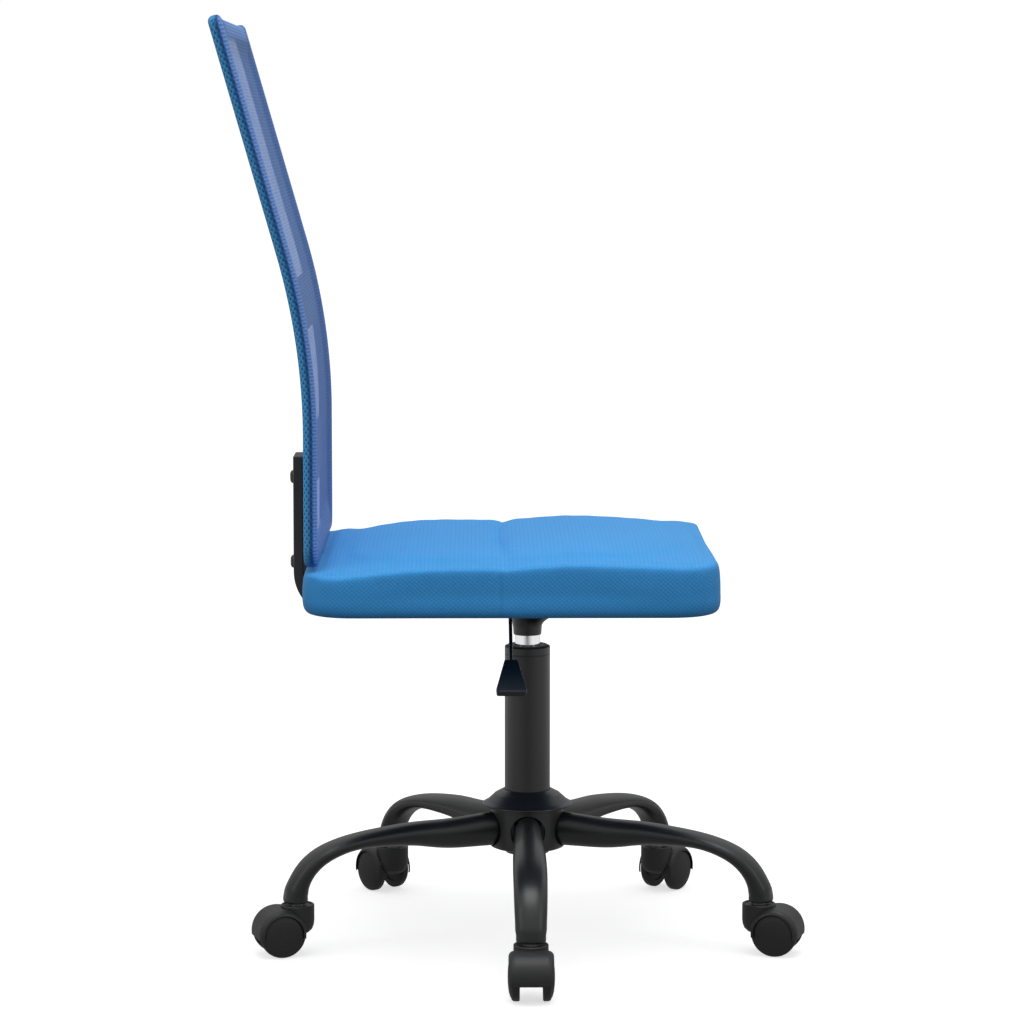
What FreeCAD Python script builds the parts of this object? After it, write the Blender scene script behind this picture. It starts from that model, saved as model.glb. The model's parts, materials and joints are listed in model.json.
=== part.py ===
# Swivel office chair: armless task chair with a sleeve-covered tube back, a
# padded seat, a gas-lift column and a five-arm base on twin-wheel casters.
# Frame: +Z up, the chair faces -Y, X = 0 is the seat's middle plane, and the
# origin is on the floor at the column's axis.  Millimetres.
import FreeCAD, Part
import math
import os
import Sketcher

V = FreeCAD.Vector
doc = FreeCAD.newDocument("SwivelOfficeChair")

# ---------------------------------------------------------------- sizes
sheet = doc.addObject("Spreadsheet::Sheet", "Sizes")
SIZES = [
    # column and gas lift
    ("column_dia", 50.0), ("column_wall", 2.0), ("column_top", 324.0), ("column_foot", 94.0),
    ("column_taper_from", 150.0), ("column_foot_dia", 47.6), ("column_floor", 3.0),
    ("bush_top", 325.2), ("bush_length", 80.0), ("bush_flange_dia", 44.6),
    ("cylinder_dia", 28.0), ("cylinder_foot", 109.0), ("cylinder_top", 374.0),
    ("cylinder_tip_dia", 26.4), ("cylinder_taper_from", 345.0), ("chamber_dia", 24.0),
    ("chamber_foot", 130.0), ("chamber_top", 350.0),
    ("rod_dia", 10.0), ("rod_foot", 88.0), ("rod_top", 302.0), ("lift_travel", 120.0),
    ("fit", 0.05), ("button_dia", 8.0), ("button_top", 377.6),
    # hub
    ("hub_dia", 84.0), ("hub_low", 100.0), ("hub_high", 147.0), ("hub_skin", 2.6),
    ("socket_dia", 38.2), ("arm_height", 122.0), ("arm_count", 5.0),
    ("cover_dia", 99.0), ("cover_low", 147.3), ("cover_high", 164.5), ("cover_wall", 2.2),
    # arms and casters
    ("arm_wall", 1.6), ("arm_tip_low", 56.6), ("caster_circle", 263.0), ("caster_trail", 20.5),
    ("wheel_radius", 25.0), ("wheel_in", 12.0), ("wheel_out", 24.3), ("axle_dia", 6.0),
    ("stem_dia", 11.0), ("stem_top", 76.0), ("boss_dia", 36.4), ("boss_top", 54.0),
    ("hood_radius", 26.6), ("hood_wall", 1.1), ("hood_lip", 20.4),
    # seat
    ("seat_width", 430.0), ("seat_front", 196.0), ("seat_rear", 236.0), ("seat_low", 385.0),
    ("seat_crown", 464.0),
    ("seat_corner", 46.0), ("cover_cloth", 1.8), ("board_thick", 12.0), ("board_inset", 13.0),
    # mechanism
    ("tray_low", 370.0), ("tray_sheet", 2.5), ("tray_half", 50.0), ("tray_front", 60.0),
    ("tray_rear", 112.0), ("flange_half", 86.0), ("flange_front", 96.0), ("flange_rear", 134.0),
    ("socket_low", 336.5), ("bolt_x", 70.0), ("bolt_y_front", 78.0), ("bolt_y_rear", 120.0),
    # lever
    ("lever_dia", 4.0), ("lever_y", 19.5), ("lever_pivot_x", 24.0), ("lever_pivot_z", 380.2),
    ("paddle_near", 163.0), ("paddle_far", 216.0), ("paddle_thick", 7.6),
    # back
    ("bar_width", 52.0), ("bar_rear", 255.3), ("bar_front", 244.4), ("bar_top", 535.5),
    ("bar_low", 359.0), ("bar_end", 66.0), ("bar_bolt_low", 417.6), ("bar_bolt_high", 511.0),
    ("frame_tube", 12.0), ("frame_wall", 1.2), ("frame_half", 180.0), ("frame_y", 229.0),
    ("frame_low", 439.0), ("frame_bend_from", 570.0), ("frame_bend_radius", 700.0),
    ("frame_recline", 16.0), ("frame_straight", 243.5), ("frame_corner", 24.0),
    ("sleeve_gap", 0.3), ("sleeve_cloth", 1.0),
    ("brace_low", 503.0), ("brace_high", 566.0), ("strap_low", 678.0), ("strap_high", 731.0),
]
for i, (alias, value) in enumerate(SIZES):
    sheet.set("A%d" % (i + 1), alias)
    sheet.set("B%d" % (i + 1), str(value))
    sheet.setAlias("B%d" % (i + 1), alias)
doc.recompute()
S = {alias: float(sheet.get(alias)) for alias, _ in SIZES}


def num(expr):
    """Value of a size expression, for a sketch's first guess."""
    if isinstance(expr, (int, float)):
        return float(expr)
    text = expr
    for alias in sorted(S, key=len, reverse=True):
        text = text.replace("Sizes." + alias, repr(S[alias]))
    total = 0.0
    # the expressions are sums of products, so a small reader is enough
    for sign, term in split_terms(text):
        value = 1.0
        for part, op in split_factors(term):
            value = value * part if op == "*" else value / part
        total += sign * value
    return total


def split_terms(text):
    out, sign, cur = [], 1.0, ""
    previous = ""
    for ch in text.replace(" ", ""):
        if ch in "+-" and cur and previous not in "*/e":
            out.append((sign, cur))
            cur, sign = "", (1.0 if ch == "+" else -1.0)
        elif ch in "+-" and not cur:
            sign = 1.0 if ch == "+" else -1.0
        else:
            cur += ch
        previous = ch
    out.append((sign, cur))
    return out


def split_factors(term):
    out, op, cur = [], "*", ""
    for ch in term:
        if ch in "*/":
            out.append((float(cur), op))
            op, cur = ch, ""
        else:
            cur += ch
    out.append((float(cur), op))
    return out


# ---------------------------------------------------------------- helpers
PARTS = []


def keep(obj):
    PARTS.append(obj)
    return obj


def new_body(label):
    body = doc.addObject("PartDesign::Body", label)
    body.Label = label
    return body


def plane(body, role):
    for feature in body.Origin.OriginFeatures:
        if feature.Role == role:
            return feature
    raise ValueError(role)


def sketch(body, role, name, loops=(), circles=(), lift=None):
    """Closed polygons and circles whose points are bound to the sizes."""
    sk = body.newObject("Sketcher::SketchObject", name)
    sk.AttachmentSupport = [(plane(body, role), "")]
    sk.MapMode = "FlatFace"
    if lift is not None:
        sk.AttachmentOffset = FreeCAD.Placement(V(0, 0, num(lift)), FreeCAD.Rotation())
        sk.setExpression("AttachmentOffset.Base.z", str(lift))
    n = 0
    for loop in loops:
        first = sk.GeometryCount
        pts = [V(num(a), num(b), 0) for a, b in loop]
        for k in range(len(pts)):
            sk.addGeometry(Part.LineSegment(pts[k], pts[(k + 1) % len(pts)]), False)
        for k in range(len(pts)):
            sk.addConstraint(Sketcher.Constraint("Coincident", first + k, 2, first + (k + 1) % len(pts), 1))
        for k, (a, b) in enumerate(loop):
            for kind, axis, expr in (("DistanceX", -2, a), ("DistanceY", -1, b)):
                if abs(num(expr)) < 1e-9:
                    sk.addConstraint(Sketcher.Constraint("PointOnObject", first + k, 1, axis))
                else:
                    c = sk.addConstraint(Sketcher.Constraint(kind, -1, 1, first + k, 1, num(expr)))
                    if isinstance(expr, str):
                        cname = "%s_%d" % ("px" if kind == "DistanceX" else "py", n)
                        sk.renameConstraint(c, cname)
                        sk.setExpression("Constraints." + cname, expr)
                n += 1
    for a, b, r in circles:
        g = sk.addGeometry(Part.Circle(V(num(a), num(b), 0), V(0, 0, 1), num(r)), False)
        for kind, axis, expr in (("DistanceX", -2, a), ("DistanceY", -1, b)):
            if abs(num(expr)) < 1e-9:
                sk.addConstraint(Sketcher.Constraint("PointOnObject", g, 3, axis))
            else:
                c = sk.addConstraint(Sketcher.Constraint(kind, -1, 1, g, 3, num(expr)))
                if isinstance(expr, str):
                    cname = "c_%d" % n
                    sk.renameConstraint(c, cname)
                    sk.setExpression("Constraints." + cname, expr)
            n += 1
        c = sk.addConstraint(Sketcher.Constraint("Radius", g, num(r)))
        if isinstance(r, str):
            cname = "r_%d" % n
            sk.renameConstraint(c, cname)
            sk.setExpression("Constraints." + cname, r)
        n += 1
    return sk


def turned(label, loops, placement=None):
    """A turned piece: sketch of radius and height, revolved about local Z."""
    body = new_body(label)
    sk = sketch(body, "XZ_Plane", label + "_profile", loops)
    rev = body.newObject("PartDesign::Revolution", label + "_turn")
    rev.Profile = sk
    rev.ReferenceAxis = (sk, ["V_Axis"])
    rev.Angle = 360.0
    sk.Visibility = False
    if placement is not None:
        body.Placement = placement
    return keep(body)


def padded(label, loops, height, circles=(), lift=None, role="XY_Plane"):
    """A flat piece: outline in the plane, padded along its normal."""
    body = new_body(label)
    sk = sketch(body, role, label + "_outline", loops, circles, lift)
    pad = body.newObject("PartDesign::Pad", label + "_pad")
    pad.Profile = sk
    pad.Length = num(height)
    if isinstance(height, str):
        pad.setExpression("Length", height)
    return keep(body)


def shaped(label, shape, placement=None):
    """A piece whose shape is made with Part's functions from the sheet's sizes."""
    obj = doc.addObject("Part::Feature", label)
    obj.Label = label
    obj.Shape = shape
    if placement is not None:
        obj.Placement = placement
    return keep(obj)


def cyl(radius, low, high, x=0.0, y=0.0):
    return Part.makeCylinder(radius, high - low, V(x, y, low))


def cyl_along(radius, start, direction, length):
    return Part.makeCylinder(radius, length, start, direction)


def box(x0, x1, y0, y1, z0, z1):
    return Part.makeBox(x1 - x0, y1 - y0, z1 - z0, V(x0, y0, z0))


def wire(points):
    return Part.makePolygon(points + [points[0]])


def rounded_rect(x0, x1, y0, y1, r, z):
    """Rounded rectangle wire in the plane at z."""
    k = math.sqrt(0.5)
    e = []
    corners = [(x1 - r, y1 - r, 0), (x0 + r, y1 - r, 90), (x0 + r, y0 + r, 180), (x1 - r, y0 + r, 270)]
    for i, (cx, cy, a) in enumerate(corners):
        a0, a1, a2 = (math.radians(a), math.radians(a + 45), math.radians(a + 90))
        p = [V(cx + r * math.cos(t), cy + r * math.sin(t), z) for t in (a0, a1, a2)]
        e.append(Part.Arc(p[0], p[1], p[2]).toShape())
        nx, ny, na = corners[(i + 1) % 4]
        q = V(nx + r * math.cos(math.radians(na)), ny + r * math.sin(math.radians(na)), z)
        if (q - p[2]).Length > 1e-6:
            e.append(Part.LineSegment(p[2], q).toShape())
    return Part.Wire(e)


def revolved(points, closed=True):
    """Solid of revolution about Z from (radius, height) points."""
    face = Part.Face(wire([V(a, 0, b) for a, b in points]))
    return face.revolve(V(0, 0, 0), V(0, 0, 1), 360)


def one(shape):
    """The single solid of a boolean's result."""
    solids = shape.removeSplitter().Solids
    if len(solids) != 1:
        raise ValueError("expected one solid, got %d" % len(solids))
    return solids[0]


# ---------------------------------------------------------------- column
# Outer tube: straight, tapered at its foot where it wedges into the hub,
# with a floor that the piston rod passes through and a fine seam near its top.
turned("column_tube", [[
    ("Sizes.rod_dia/2+0.25", "Sizes.column_foot"),
    ("Sizes.column_foot_dia/2", "Sizes.column_foot"),
    ("Sizes.column_dia/2", "Sizes.column_taper_from"),
    ("Sizes.column_dia/2", "Sizes.column_top-9.2"),
    ("Sizes.column_dia/2-0.35", "Sizes.column_top-8.9"),
    ("Sizes.column_dia/2-0.35", "Sizes.column_top-8.5"),
    ("Sizes.column_dia/2", "Sizes.column_top-8.2"),
    ("Sizes.column_dia/2", "Sizes.column_top-0.9"),
    ("Sizes.column_dia/2-0.3", "Sizes.column_top-0.25"),
    ("Sizes.column_dia/2-0.9", "Sizes.column_top"),
    ("Sizes.column_dia/2-Sizes.column_wall", "Sizes.column_top"),
    ("Sizes.column_dia/2-Sizes.column_wall", "Sizes.column_taper_from"),
    ("Sizes.column_foot_dia/2-Sizes.column_wall", "Sizes.column_foot+Sizes.column_floor"),
    ("Sizes.rod_dia/2+0.25", "Sizes.column_foot+Sizes.column_floor"),
]])
# Plastic guide bush in the tube's mouth; the gas cylinder runs in it.
turned("guide_bush", [[
    ("Sizes.cylinder_dia/2+Sizes.fit", "Sizes.bush_top-Sizes.bush_length"),
    ("Sizes.column_dia/2-Sizes.column_wall-0.06", "Sizes.bush_top-Sizes.bush_length"),
    ("Sizes.column_dia/2-Sizes.column_wall-0.06", "Sizes.bush_top-3.4"),
    ("Sizes.bush_flange_dia/2", "Sizes.bush_top-3.0"),
    ("Sizes.bush_flange_dia/2", "Sizes.bush_top-0.5"),
    ("Sizes.bush_flange_dia/2-0.5", "Sizes.bush_top"),
    ("Sizes.cylinder_dia/2+0.9", "Sizes.bush_top"),
    ("Sizes.cylinder_dia/2+Sizes.fit", "Sizes.bush_top-0.8"),
]])
# Ball thrust bearing on the tube's floor: lower race stays with the tube.
turned("bearing_race", [[
    ("Sizes.rod_dia/2+0.6", "Sizes.column_foot+Sizes.column_floor+0.02"),
    ("14", "Sizes.column_foot+Sizes.column_floor+0.02"),
    ("14", "Sizes.column_foot+Sizes.column_floor+2"),
    ("Sizes.rod_dia/2+0.6", "Sizes.column_foot+Sizes.column_floor+2"),
]])
z_race = S["column_foot"] + S["column_floor"] + 2.0
bearing = [revolved([(S["rod_dia"] / 2 + 0.05, z_race + 4.4), (14.0, z_race + 4.4),
                     (14.0, z_race + 6.4), (S["rod_dia"] / 2 + 0.05, z_race + 6.4)])]
for k in range(8):
    a = math.radians(45.0 * k)
    bearing.append(Part.makeSphere(2.0, V(9.6 * math.cos(a), 9.6 * math.sin(a), z_race + 2.32)))
shaped("thrust_bearing", Part.makeCompound(bearing))
z_collar = z_race + 6.45
# Piston rod: carries the whole seat, turns on the bearing, clipped below the floor.
turned("piston_rod", [[
    ("0", "Sizes.rod_foot"), ("Sizes.rod_dia/2-0.8", "Sizes.rod_foot"),
    ("Sizes.rod_dia/2", "Sizes.rod_foot+0.8"), ("Sizes.rod_dia/2", "Sizes.rod_foot+3.4"),
    ("Sizes.rod_dia/2-1", "Sizes.rod_foot+3.4"), ("Sizes.rod_dia/2-1", "Sizes.rod_foot+5.0"),
    ("Sizes.rod_dia/2", "Sizes.rod_foot+5.0"), ("Sizes.rod_dia/2", z_collar),
    (8.0, z_collar), (8.0, z_collar + 2.0), ("Sizes.rod_dia/2", z_collar + 2.0),
    ("Sizes.rod_dia/2", "Sizes.rod_top"), ("0", "Sizes.rod_top"),
]])
# Spring clip in the rod's groove, an open ring.
clip = revolved([(S["rod_dia"] / 2 - 0.95, S["rod_foot"] + 3.5), (9.0, S["rod_foot"] + 3.5),
                 (9.0, S["rod_foot"] + 4.9), (S["rod_dia"] / 2 - 0.95, S["rod_foot"] + 4.9)])
clip = clip.cut(box(0, 20, -2.2, 2.2, S["rod_foot"], S["rod_foot"] + 10))
shaped("retaining_clip", one(clip))
# Piston head on the rod, inside the gas cylinder.
turned("piston_head", [[
    ("Sizes.rod_dia/2+0.02", "Sizes.rod_top-12"), ("Sizes.chamber_dia/2-0.07", "Sizes.rod_top-12"),
    ("Sizes.chamber_dia/2-0.07", "Sizes.rod_top-2"), ("Sizes.rod_dia/2+0.02", "Sizes.rod_top-2"),
]])
# Gas cylinder: chromed pressure tube with a wedge-tapered top, hollow for its piston.
turned("gas_cylinder", [[
    ("Sizes.rod_dia/2+Sizes.fit", "Sizes.cylinder_foot"),
    ("Sizes.cylinder_dia/2-1", "Sizes.cylinder_foot"),
    ("Sizes.cylinder_dia/2", "Sizes.cylinder_foot+1"),
    ("Sizes.cylinder_dia/2", "Sizes.cylinder_taper_from"),
    ("Sizes.cylinder_tip_dia/2", "Sizes.cylinder_top"),
    ("Sizes.button_dia/2+Sizes.fit", "Sizes.cylinder_top"),
    ("Sizes.button_dia/2+Sizes.fit", "Sizes.cylinder_top-14"),
    ("0", "Sizes.cylinder_top-14"), ("0", "Sizes.chamber_top"),
    ("Sizes.chamber_dia/2", "Sizes.chamber_top"),
    ("Sizes.chamber_dia/2", "Sizes.chamber_foot"),
    ("Sizes.rod_dia/2+Sizes.fit", "Sizes.chamber_foot"),
]])
# Valve button in the cylinder's top.
turned("valve_button", [[
    ("0", "Sizes.cylinder_top-9"), ("Sizes.button_dia/2", "Sizes.cylinder_top-9"),
    ("Sizes.button_dia/2", "Sizes.button_top-1.2"), ("Sizes.button_dia/2-1.4", "Sizes.button_top-0.5"),
    ("Sizes.button_dia/2-2.8", "Sizes.button_top"), ("0", "Sizes.button_top"),
]])

# ---------------------------------------------------------------- hub
# Round hub: inner sleeve for the column's foot, outer skin, webs top and
# bottom, and a round hole in the skin for each arm.
slope = (S["column_dia"] - S["column_foot_dia"]) / 2 / (S["column_taper_from"] - S["column_foot"])
bore_high = S["column_dia"] / 2 - slope * (S["column_taper_from"] - S["hub_high"]) + 0.03
bore_low = S["column_dia"] / 2 - slope * (S["column_taper_from"] - S["hub_low"]) + 0.03
hub = new_body("hub_sleeve")
sk = sketch(hub, "XZ_Plane", "hub_profile", [[
    (bore_low, "Sizes.hub_low"), ("Sizes.hub_dia/2-4.5", "Sizes.hub_low"),
    ("Sizes.hub_dia/2-1.4", "Sizes.hub_low+1.3"), ("Sizes.hub_dia/2", "Sizes.hub_low+4.5"),
    ("Sizes.hub_dia/2", "Sizes.hub_high"), (bore_high, "Sizes.hub_high"),
], [
    ("Sizes.column_dia/2+2.6", "Sizes.hub_low+Sizes.hub_skin"),
    ("Sizes.hub_dia/2-Sizes.hub_skin-2.4", "Sizes.hub_low+Sizes.hub_skin"),
    ("Sizes.hub_dia/2-Sizes.hub_skin", "Sizes.hub_low+Sizes.hub_skin+4"),
    ("Sizes.hub_dia/2-Sizes.hub_skin", "Sizes.hub_high-Sizes.hub_skin"),
    ("Sizes.column_dia/2+2.6", "Sizes.hub_high-Sizes.hub_skin"),
]])
rev = hub.newObject("PartDesign::Revolution", "hub_turn")
rev.Profile = sk
rev.ReferenceAxis = (sk, ["V_Axis"])
rev.Angle = 360.0
doc.recompute()
before = hub.Shape.Volume
ring = sketch(hub, "YZ_Plane", "arm_hole", circles=[("0", "Sizes.arm_height", "Sizes.socket_dia/2")],
              lift="-Sizes.column_dia/2-Sizes.hub_skin-1")
pocket = hub.newObject("PartDesign::Pocket", "arm_socket")
pocket.Profile = ring
pocket.Length = 30
doc.recompute()
if before - hub.Shape.Volume < 100:
    pocket.Reversed = True
    doc.recompute()
if before - hub.Shape.Volume < 100:
    raise ValueError("the hub's arm holes cut nothing")
polar = hub.newObject("PartDesign::PolarPattern", "arm_sockets")
polar.Originals = [pocket]
polar.Axis = (sk, ["V_Axis"])
polar.Angle = 360
polar.Occurrences = 5
polar.setExpression("Occurrences", "Sizes.arm_count")
hub.Tip = polar
keep(hub)
# Conical plastic cover over the hub, round the column.
turned("hub_cover", [[
    ("Sizes.column_dia/2+0.3", "Sizes.cover_high"), ("Sizes.column_dia/2+1.3", "Sizes.cover_high"),
    ("Sizes.column_dia/2+3.6", "Sizes.cover_high-1.2"), ("Sizes.column_dia/2+11", "Sizes.cover_high-5.2"),
    ("Sizes.cover_dia/2-5", "Sizes.cover_low+4.2"), ("Sizes.cover_dia/2-1.4", "Sizes.cover_low+2.2"),
    ("Sizes.cover_dia/2-0.3", "Sizes.cover_low+1.5"), ("Sizes.cover_dia/2", "Sizes.cover_low+0.8"),
    ("Sizes.cover_dia/2-0.3", "Sizes.cover_low"), ("Sizes.cover_dia/2-5.5", "Sizes.cover_low"),
    ("Sizes.column_dia/2+10", "Sizes.cover_high-8.2"), ("Sizes.column_dia/2+3", "Sizes.cover_high-4.2"),
    ("Sizes.column_dia/2+0.3", "Sizes.cover_high-4.2"),
]])

# ---------------------------------------------------------------- arms
# Pressed oval tube, tall at the hub, flat and wide further out, then bent
# down to an upright socket.  Stations: distance out, height, direction
# below level, thickness in the arm's plane, width across.
STATIONS = [
    (31.0, 122.2, 0.0, 36.0, 27.6), (46.0, 122.0, 0.0, 36.6, 29.2), (86.0, 120.3, 0.0, 33.0, 32.0),
    (116.0, 121.4, 0.0, 28.6, 33.8), (142.0, 122.2, 1.5, 24.0, 34.8), (172.0, 120.9, 6.0, 19.6, 35.6),
    (203.0, 117.0, 13.0, 16.8, 36.0), (224.0, 110.6, 25.0, 17.6, 35.8), (241.0, 101.6, 39.0, 19.0, 35.2),
    (253.2, 90.0, 53.0, 20.4, 34.4), (261.2, 76.4, 67.0, 22.6, 33.2), (264.6, 66.0, 80.0, 25.4, 31.8),
    (265.2, 60.0, 90.0, 26.4, 31.2), (265.2, 57.6, 90.0, 25.6, 30.6), (265.2, S["arm_tip_low"], 90.0, 23.0, 28.2),
]


def oval(station, shrink):
    rho, z, angle, thick, width = station
    a = math.radians(angle)
    up = V(math.sin(a), 0, math.cos(a))
    points = []
    for k in range(16):
        t = 2 * math.pi * k / 16
        c, s = math.cos(t), math.sin(t)
        # slightly squared oval
        c = math.copysign(abs(c) ** 0.94, c)
        s = math.copysign(abs(s) ** 0.94, s)
        points.append(V(rho, 0, z) + V(0, (width / 2 - shrink) * c, 0) + up * ((thick / 2 - shrink) * s))
    curve = Part.BSplineCurve()
    curve.interpolate(Points=points, PeriodicFlag=True)
    return Part.Wire([curve.toShape()])


def loft(stations, shrink):
    return Part.makeLoft([oval(st, shrink) for st in stations], True, False)


arm_outer = loft(STATIONS, 0.0)
inner = [st for st in STATIONS[:-2]]
first = list(inner[0])
first[0] -= 2.0
last = list(inner[-1])
last[1] = 59.2
arm_inner = loft([tuple(first)] + inner[1:-1] + [tuple(last)], S["arm_wall"])
arm = arm_outer.cut(arm_inner)
stem_x = S["caster_circle"]
arm = arm.cut(cyl(8.03, 50.0, 62.0, stem_x))
arm = one(arm)
ANGLES = [180.0, 252.0, 324.0, 36.0, 108.0]
ARM_NAMES = ["arm_right", "arm_front_right", "arm_front_left", "arm_rear_left", "arm_rear_right"]
sockets = []
for name, angle in zip(ARM_NAMES, ANGLES):
    turn = FreeCAD.Placement(V(0, 0, 0), FreeCAD.Rotation(V(0, 0, 1), angle))
    shaped("base_" + name, arm.copy(), turn)
    # steel insert in the arm's end, which grips the caster's stem
    tube = cyl(8.0, 56.4, S["stem_top"] + 1.6, stem_x).cut(
        cyl(S["stem_dia"] / 2 + S["fit"], 50.0, S["stem_top"] + 0.4, stem_x))
    tube = tube.common(arm_outer.fuse(cyl(8.0, 56.0, 60.0, stem_x)))
    tube = sorted(tube.Solids, key=lambda s: s.Volume)[-1]
    tube = tube.copy()
    tube.Placement = turn
    sockets.append(tube)
shaped("caster_sockets", Part.makeCompound(sockets))

# ---------------------------------------------------------------- casters
# Local frame: stem on local Z at the origin, wheels trail along +X.
R, WZ, TR = S["wheel_radius"], S["wheel_radius"], S["caster_trail"]
wheel_loop = [
    ("Sizes.axle_dia/2+Sizes.fit", "Sizes.wheel_in"), ("9", "Sizes.wheel_in"),
    ("9.6", "Sizes.wheel_in+1"), ("17", "Sizes.wheel_in+1"), ("17.6", "Sizes.wheel_in"),
    ("Sizes.wheel_radius-0.9", "Sizes.wheel_in"), ("Sizes.wheel_radius", "Sizes.wheel_in+0.9"),
    ("Sizes.wheel_radius", "Sizes.wheel_in+5.2"), ("Sizes.wheel_radius-0.35", "Sizes.wheel_in+6.7"),
    ("Sizes.wheel_radius-1.3", "Sizes.wheel_in+7.9"), ("Sizes.wheel_radius-2.7", "Sizes.wheel_in+8.6"),
    ("Sizes.wheel_radius-3.3", "Sizes.wheel_in+8.7"), ("Sizes.wheel_radius-3.6", "Sizes.wheel_in+8.9"),
    ("Sizes.wheel_radius-4.4", "Sizes.wheel_in+9.6"),
    ("15.4", "Sizes.wheel_out-1.15"), ("10.2", "Sizes.wheel_out-0.45"), ("5", "Sizes.wheel_out-0.08"),
    ("0", "Sizes.wheel_out"), ("0", "Sizes.wheel_in+8"), ("Sizes.axle_dia/2+Sizes.fit", "Sizes.wheel_in+8"),
]


def clear_wheel(side, grow=0.55):
    """Room for one wheel inside the hood."""
    a = S["wheel_in"] - 0.5
    pts = [(0.0, a), (R + grow, a), (R + grow, a + 6.3), (R + grow - 0.5, a + 7.8),
           (R - 2.2 + grow, a + 9.5), (R - 4.0 + grow, a + 12.0), (R - 5.0 + grow, a + 20.0), (0.0, a + 20.0)]
    face = Part.Face(wire([V(TR + 0.0 * p[0], side * p[1], WZ + p[0]) for p in pts]))
    return face.revolve(V(TR, 0, WZ), V(0, 1, 0), 360)


def make_hood():
    H = S["hood_radius"]
    half = S["wheel_out"] - 1.0
    # saddle over both wheels: turned about the axle, rounded at its sides
    prof = [(0.0, -half), (H - 4.6, -half), (H - 2.4, -half + 1.1), (H - 0.8, -half + 3.2), (H, -half + 6.0),
            (H, half - 6.0), (H - 0.8, half - 3.2), (H - 2.4, half - 1.1), (H - 4.6, half), (0.0, half)]
    face = Part.Face(wire([V(TR, p[1], WZ + p[0]) for p in prof]))
    saddle = face.revolve(V(TR, 0, WZ), V(0, 1, 0), 360)
    saddle = saddle.common(box(-40, 80, -40, 40, S["hood_lip"], 80))
    # skirt's lower inner corner is trimmed off on the stem's side
    saddle = saddle.cut(box(-40, -4.0, -40, 40, -1, 44.0))
    # hollow between the wheels, behind the skirt
    hollow = Part.makeCylinder(R + 0.5, 2 * (S["wheel_in"] - 0.5), V(TR, -(S["wheel_in"] - 0.5), WZ), V(0, 1, 0))
    saddle = saddle.cut(hollow)
    # upright boss round the stem, rounded under
    B = S["boss_dia"] / 2
    boss = revolved([(0.0, 22.0), (B - 10.0, 22.0), (B - 6.0, 23.6), (B - 2.4, 27.0), (B - 0.6, 31.5), (B, 36.5),
                     (B, S["boss_top"] - 0.7), (B - 0.7, S["boss_top"]), (B - 2.6, S["boss_top"]),
                     (B - 3.2, S["boss_top"] - 1.0), (0.0, S["boss_top"] - 1.0)])
    web = box(0.0, TR + 2.0, -(S["wheel_in"] - 1.2), S["wheel_in"] - 1.2, 19.0, 48.0)
    web = web.fuse(Part.makeCylinder(8.0, 2 * (S["wheel_in"] - 1.0), V(TR, -(S["wheel_in"] - 1.0), WZ), V(0, 1, 0)))
    hood = saddle.fuse([boss, web])
    hood = hood.cut([clear_wheel(1), clear_wheel(-1)])
    hood = hood.cut([cyl(S["stem_dia"] / 2 + 0.01, 27.0, 60.0),
                     Part.makeCylinder(S["axle_dia"] / 2 + 0.01, 60, V(TR, -30, WZ), V(0, 1, 0))])
    solids = sorted(hood.removeSplitter().Solids, key=lambda s: s.Volume)
    return solids[-1]


hood = make_hood()
CASTERS = ["right", "front_right", "front_left", "rear_left", "rear_right"]
for name, angle in zip(CASTERS, ANGLES):
    a = math.radians(angle)
    base = V(S["caster_circle"] * math.cos(a), S["caster_circle"] * math.sin(a), 0)
    turn = FreeCAD.Placement(base, FreeCAD.Rotation(V(0, 0, 1), angle))
    shaped("caster_%s_hood" % name, hood.copy(), turn)
    turned("caster_%s_stem" % name, [[
        ("0", "27.05"), ("Sizes.stem_dia/2-1", "27.05"), ("Sizes.stem_dia/2", "28"),
        ("Sizes.stem_dia/2", "Sizes.boss_top-0.9"), ("8.4", "Sizes.boss_top-0.9"), ("8.4", "Sizes.boss_top+1.7"),
        ("Sizes.stem_dia/2", "Sizes.boss_top+1.7"), ("Sizes.stem_dia/2", "Sizes.stem_top-2"),
        ("Sizes.stem_dia/2-1", "Sizes.stem_top"), ("0", "Sizes.stem_top"),
    ]], turn)
    # local Z of the axle and wheels is the rolling axis
    roll = turn.multiply(FreeCAD.Placement(V(TR, 0, WZ), FreeCAD.Rotation(V(1, 0, 0), -90)))
    roll_b = turn.multiply(FreeCAD.Placement(V(TR, 0, WZ), FreeCAD.Rotation(V(1, 0, 0), 90)))
    turned("caster_%s_axle" % name, [[
        ("0", "-Sizes.wheel_in-7.6"), ("Sizes.axle_dia/2-0.5", "-Sizes.wheel_in-7.6"),
        ("Sizes.axle_dia/2", "-Sizes.wheel_in-7.1"), ("Sizes.axle_dia/2", "Sizes.wheel_in+7.1"),
        ("Sizes.axle_dia/2-0.5", "Sizes.wheel_in+7.6"), ("0", "Sizes.wheel_in+7.6"),
    ]], roll)
    turned("caster_%s_wheel_a" % name, [wheel_loop], roll)
    turned("caster_%s_wheel_b" % name, [wheel_loop], roll_b)

# ---------------------------------------------------------------- mechanism
# Socket that the gas cylinder's taper wedges into, flared to the tray, more
# to the front than to the rear.
low = S["socket_low"]


def disc_wire(radius, y, z):
    return Part.Wire([Part.Circle(V(0, y, z), V(0, 0, 1), radius).toShape()])


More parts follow.
